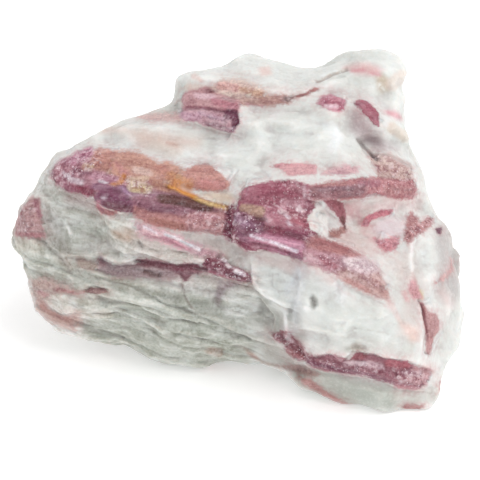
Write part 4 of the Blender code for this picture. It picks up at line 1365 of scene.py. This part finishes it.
class Shader:
    """Adds nodes to a material and links them."""

    def __init__(self, name, values):
        self.material = bpy.data.materials.new(name)
        self.material.use_nodes = True
        self.tree = self.material.node_tree
        self.principled = self.tree.nodes["Principled BSDF"]
        self.made = {}
        for socket, value in values.items():
            self.principled.inputs[socket].default_value = value

    def node(self, kind, **settings):
        node = self.tree.nodes.new(kind)
        for key, value in settings.items():
            setattr(node, key, value)
        return node

    def feed(self, socket, value):
        if isinstance(value, (int, float, tuple)):
            socket.default_value = value
        else:
            self.tree.links.new(value, socket)

    def attribute(self, name, vector=False):
        node = self.node("ShaderNodeAttribute", attribute_name=name)
        return node.outputs["Vector" if vector else "Fac"]

    def math(self, operation, a, b):
        node = self.node("ShaderNodeMath", operation=operation)
        self.feed(node.inputs[0], a)
        self.feed(node.inputs[1], b)
        return node.outputs[0]

    def vector_math(self, operation, *values):
        node = self.node("ShaderNodeVectorMath", operation=operation)
        for socket, value in zip(node.inputs, values):
            self.feed(socket, value)
        return node.outputs[0]

    def ramp(self, value, low, high, to_low=0.0, to_high=1.0):
        node = self.node("ShaderNodeMapRange", clamp=True)
        for key, number in (("Value", value), ("From Min", low), ("From Max", high),
                            ("To Min", to_low), ("To Max", to_high)):
            self.feed(node.inputs[key], number)
        return node.outputs[0]

    def mix(self, factor, a, b, blend="MIX"):
        node = self.node("ShaderNodeMix", data_type="RGBA", blend_type=blend)
        self.feed(node.inputs[0], factor)
        self.feed(node.inputs[6], a)
        self.feed(node.inputs[7], b)
        return node.outputs[2]

    def texture(self, name):
        """One of the noises of TEXTURES, from 0 to 1 and mostly near a half."""
        if name not in self.made:
            coordinates, scale, detail, roughness = TEXTURES[name]
            node = self.node("ShaderNodeTexNoise")
            self.feed(node.inputs["Vector"], self.attribute(coordinates, vector=True))
            self.feed(node.inputs["Scale"], scale)
            self.feed(node.inputs["Detail"], detail)
            self.feed(node.inputs["Roughness"], roughness)
            self.made[name] = node.outputs["Fac"]
        return self.made[name]

    def spread(self, name, height):
        """A texture spread about zero by that height."""
        return self.math("MULTIPLY", self.math("SUBTRACT", self.texture(name), 0.5), height)

    def grains(self):
        node = self.node("ShaderNodeTexVoronoi")
        self.feed(node.inputs["Vector"], self.attribute("place", vector=True))
        self.feed(node.inputs["Scale"], GRAIN_SCALE)
        return node

    def toned(self, colour, where, *tones):
        """The colour after each tone is laid on, as much as its texture and the place say.

        A tone is the texture, the values between which it sets in, its share, colour and blend.
        """
        for name, low, high, share, tone, blend in tones:
            amount = self.math("MULTIPLY", self.ramp(self.texture(name), low, high, 0, share), where)
            colour = self.mix(amount, colour, tone, blend)
        return colour


def stone_colour(shader):
    """Feldspar and quartz: clouds, crumbs, dust in the layers and a flush around the crystals."""
    stone = shader.toned(
        shader.attribute("stone_tint", vector=True), 1.0,
        ("cloud", 0.45, 0.7, 0.6, srgb(230, 232, 228), "MULTIPLY"),
        ("crumb", 0.5, 0.72, 0.25, srgb(238, 238, 236), "MIX"),
        ("streak", 0.5, 0.75, 0.15, srgb(208, 206, 198), "MULTIPLY"),
    )
    stone = shader.toned(
        stone, shader.attribute("layered"),
        ("broad", 0.44, 0.66, 0.8, srgb(208, 208, 200), "MULTIPLY"),
        ("crumb", 0.48, 0.34, 0.6, srgb(212, 212, 204), "MULTIPLY"),
        ("lump", 0.5, 0.36, 0.3, srgb(230, 232, 228), "MIX"),
    )
    flush = shader.math("MULTIPLY", shader.ramp(shader.texture("broad"), 0.36, 0.62, 0.15, 0.6),
                        shader.ramp(shader.texture("speck"), 0.38, 0.6, 0.5, 1.5))
    flush = shader.math("MULTIPLY", flush, shader.attribute("halo"))
    return shader.mix(flush, stone, srgb(238, 194, 198), "MULTIPLY")


def crystal_colour(shader, streaky):
    """Tourmaline: streaks along the grain, crumbs and, where it is broken, bright sugar with painted
    glints.
    """
    tint = shader.attribute("crystal_tint", vector=True)
    dark = shader.mix(1.0, tint, srgb(*DUSK), "MULTIPLY")
    light = shader.mix(0.12, shader.mix(1.0, tint, GLOW, "MULTIPLY"), srgb(236, 212, 220))
    sugar = shader.ramp(shader.attribute("sugar"), 0.3, 0.9, 0.15, 1)
    crystal = shader.toned(
        tint, streaky,
        ("broad", 0.5, 0.38, 0.7, dark, "MIX"),
        ("broad", 0.52, 0.66, 0.25, light, "MIX"),
        ("streak", 0.46, 0.34, 0.7, dark, "MIX"),
        ("streak", 0.54, 0.68, 0.5, light, "MIX"),
    )
    crystal = shader.toned(
        crystal, 1.0,
        ("crumb", 0.48, 0.36, 0.5, dark, "MIX"),
        ("crumb", 0.52, 0.64, 0.4, light, "MIX"),
    )
    crystal = shader.toned(
        crystal, sugar,
        ("patch", 0.46, 0.36, 1, dark, "MIX"),
        ("patch", 0.55, 0.66, 0.55, srgb(226, 206, 210), "MIX"),
        ("speck", 0.46, 0.36, 1, dark, "MIX"),
        ("speck", 0.54, 0.68, 0.6, srgb(236, 208, 218), "MIX"),
    )
    crystal = shader.mix(1.0, crystal, CRYSTAL_CAST, "MULTIPLY")
    # painted glints on some small grains of the sugar
    glint = shader.math("MULTIPLY", sugar, chosen_grains(shader, radius=0.3, left_out=0.8))
    return shader.mix(glint, crystal, srgb(250, 240, 246))


def chosen_grains(shader, radius, left_out):
    """1 on small round grains, of which that share is left out, and 0 elsewhere."""
    grains = shader.grains()
    pick = shader.node("ShaderNodeSeparateColor")
    shader.feed(pick.inputs[0], grains.outputs["Color"])
    chosen = shader.math("GREATER_THAN", pick.outputs[0], left_out)
    return shader.math("MULTIPLY", chosen, shader.ramp(grains.outputs["Distance"], radius, radius / 2))


def crystal_share(shader):
    """How much is crystal: the stored cover, its edge made ragged by the textures."""
    ragged = shader.math("ADD", shader.spread("streak", 0.5), shader.spread("crumb", 0.9))
    ragged = shader.math("ADD", ragged, shader.spread("patch", 0.5))
    within = shader.attribute("crystal")
    ragged = shader.math("MULTIPLY", ragged, shader.ramp(within, 0.5, 1, 1, 0.3))
    return shader.ramp(shader.math("ADD", within, ragged), 0.26, 0.62)


def hollow_shade_and_ridge_highlight(shader, colour):
    """The colour with painted shade and dirt in its hollows and a painted highlight on its ridges."""
    hollow = shader.attribute("recess")
    # painted shade and dirt in the hollows
    colour = shader.mix(shader.ramp(hollow, 0.58, 1, 0, 0.4), colour, srgb(182, 160, 160), "MULTIPLY")
    # painted highlight on the ridges: lighter and paler
    ridge = shader.ramp(hollow, 0.42, 0.1)
    colour = shader.mix(ridge, colour, (1.08, 1.08, 1.08, 1), "MULTIPLY")
    return shader.mix(shader.math("MULTIPLY", ridge, 0.08), colour, srgb(240, 236, 236))


def fine_bump(shader):
    streaks = shader.math("MULTIPLY", shader.texture("streak"), 1.5)
    height = shader.math("ADD", shader.texture("fine"), streaks)
    bump = shader.node("ShaderNodeBump")
    shader.feed(bump.inputs["Distance"], BUMP_DEPTH * MM)
    shader.feed(bump.inputs["Strength"], 0.8)
    shader.feed(bump.inputs["Height"], height)
    return bump.outputs[0]


def sparkling(shader, bump):
    """The bumped normal with each small grain's own lean."""
    lean = shader.vector_math("MULTIPLY_ADD", shader.grains().outputs["Color"], (SPARKLE,) * 3,
                              (-SPARKLE / 2,) * 3)
    return shader.vector_math("NORMALIZE", shader.vector_math("ADD", lean, bump))


def mineral(name, roughness, coat, streaky):
    """One mineral: stone and crystal as the stored values say, with dirt, bump and sparkle.

    Streaky is how strong the streaks are that run along a crystal's grain.
    """
    shader = Shader(name, {"Roughness": roughness, "Coat Weight": coat} | SURFACE)
    sockets = shader.principled.inputs
    colour = shader.mix(crystal_share(shader), stone_colour(shader), crystal_colour(shader, streaky))
    # base colour with painted shade in the hollows and painted highlight on the ridges
    shader.feed(sockets["Base Color"], hollow_shade_and_ridge_highlight(shader, colour))
    bump = fine_bump(shader)
    shader.feed(sockets["Normal"], bump)
    shader.feed(sockets["Coat Normal"], sparkling(shader, bump))
    return shader.material


# ---------------------------------------------------------------------------------------------
# Floor, light and camera


def make_floor():
    bpy.ops.mesh.primitive_plane_add(size=6)
    floor = bpy.context.object
    floor.name = "floor"
    floor.data.materials.append(Shader("paper", PAPER).material)


def make_light():
    world = bpy.data.worlds.new("studio")
    bpy.context.scene.world = world
    world.use_nodes = True
    world.node_tree.nodes["Background"].inputs["Color"].default_value = (1, 1, 1, 1)
    world.node_tree.nodes["Background"].inputs["Strength"].default_value = 0.8
    lamp = bpy.data.lights.new("key light", "AREA")
    lamp.size = 0.8
    lamp.energy = 4.2
    key = bpy.data.objects.new("key light", lamp)
    bpy.context.scene.collection.objects.link(key)
    key.location = (0.4, -0.2, 0.9)
    key.rotation_euler = key.location.to_track_quat("Z", "Y").to_euler()


def make_camera():
    camera = bpy.data.cameras.new("camera")
    camera.sensor_width = SENSOR_WIDTH
    camera.lens = SENSOR_WIDTH * CAMERA_DISTANCE / PICTURE_WIDTH
    obj = bpy.data.objects.new("camera", camera)
    bpy.context.scene.collection.objects.link(obj)
    obj.matrix_world = face_to_world() @ Matrix.Translation((0, 0, CAMERA_DISTANCE * MM))
    bpy.context.scene.camera = obj


def main():
    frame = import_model()
    nodes = frame["nodes"]
    bpy.context.scene.view_settings.view_transform = "Standard"
    make_floor()
    make_light()
    make_camera()
    carpet = make_stone(nodes, crystal_tree(nodes))
    kinds = {  # the base colour and the material
        "rose": (ROSE, mineral("rose tourmaline", roughness=0.4, coat=0.25, streaky=0.6)),
        "purple": (MAGENTA, mineral("purple tourmaline", roughness=0.35, coat=0.25, streaky=0.9)),
        "salmon": (SALMON, mineral("salmon tourmaline", roughness=0.5, coat=0.2, streaky=0.25)),
    }
    for name, node in nodes.items():
        if name != "matrix":
            kind = KINDS.get(name, "rose")
            make_crystal(name, node, carpet, kind, *kinds[kind])


main()
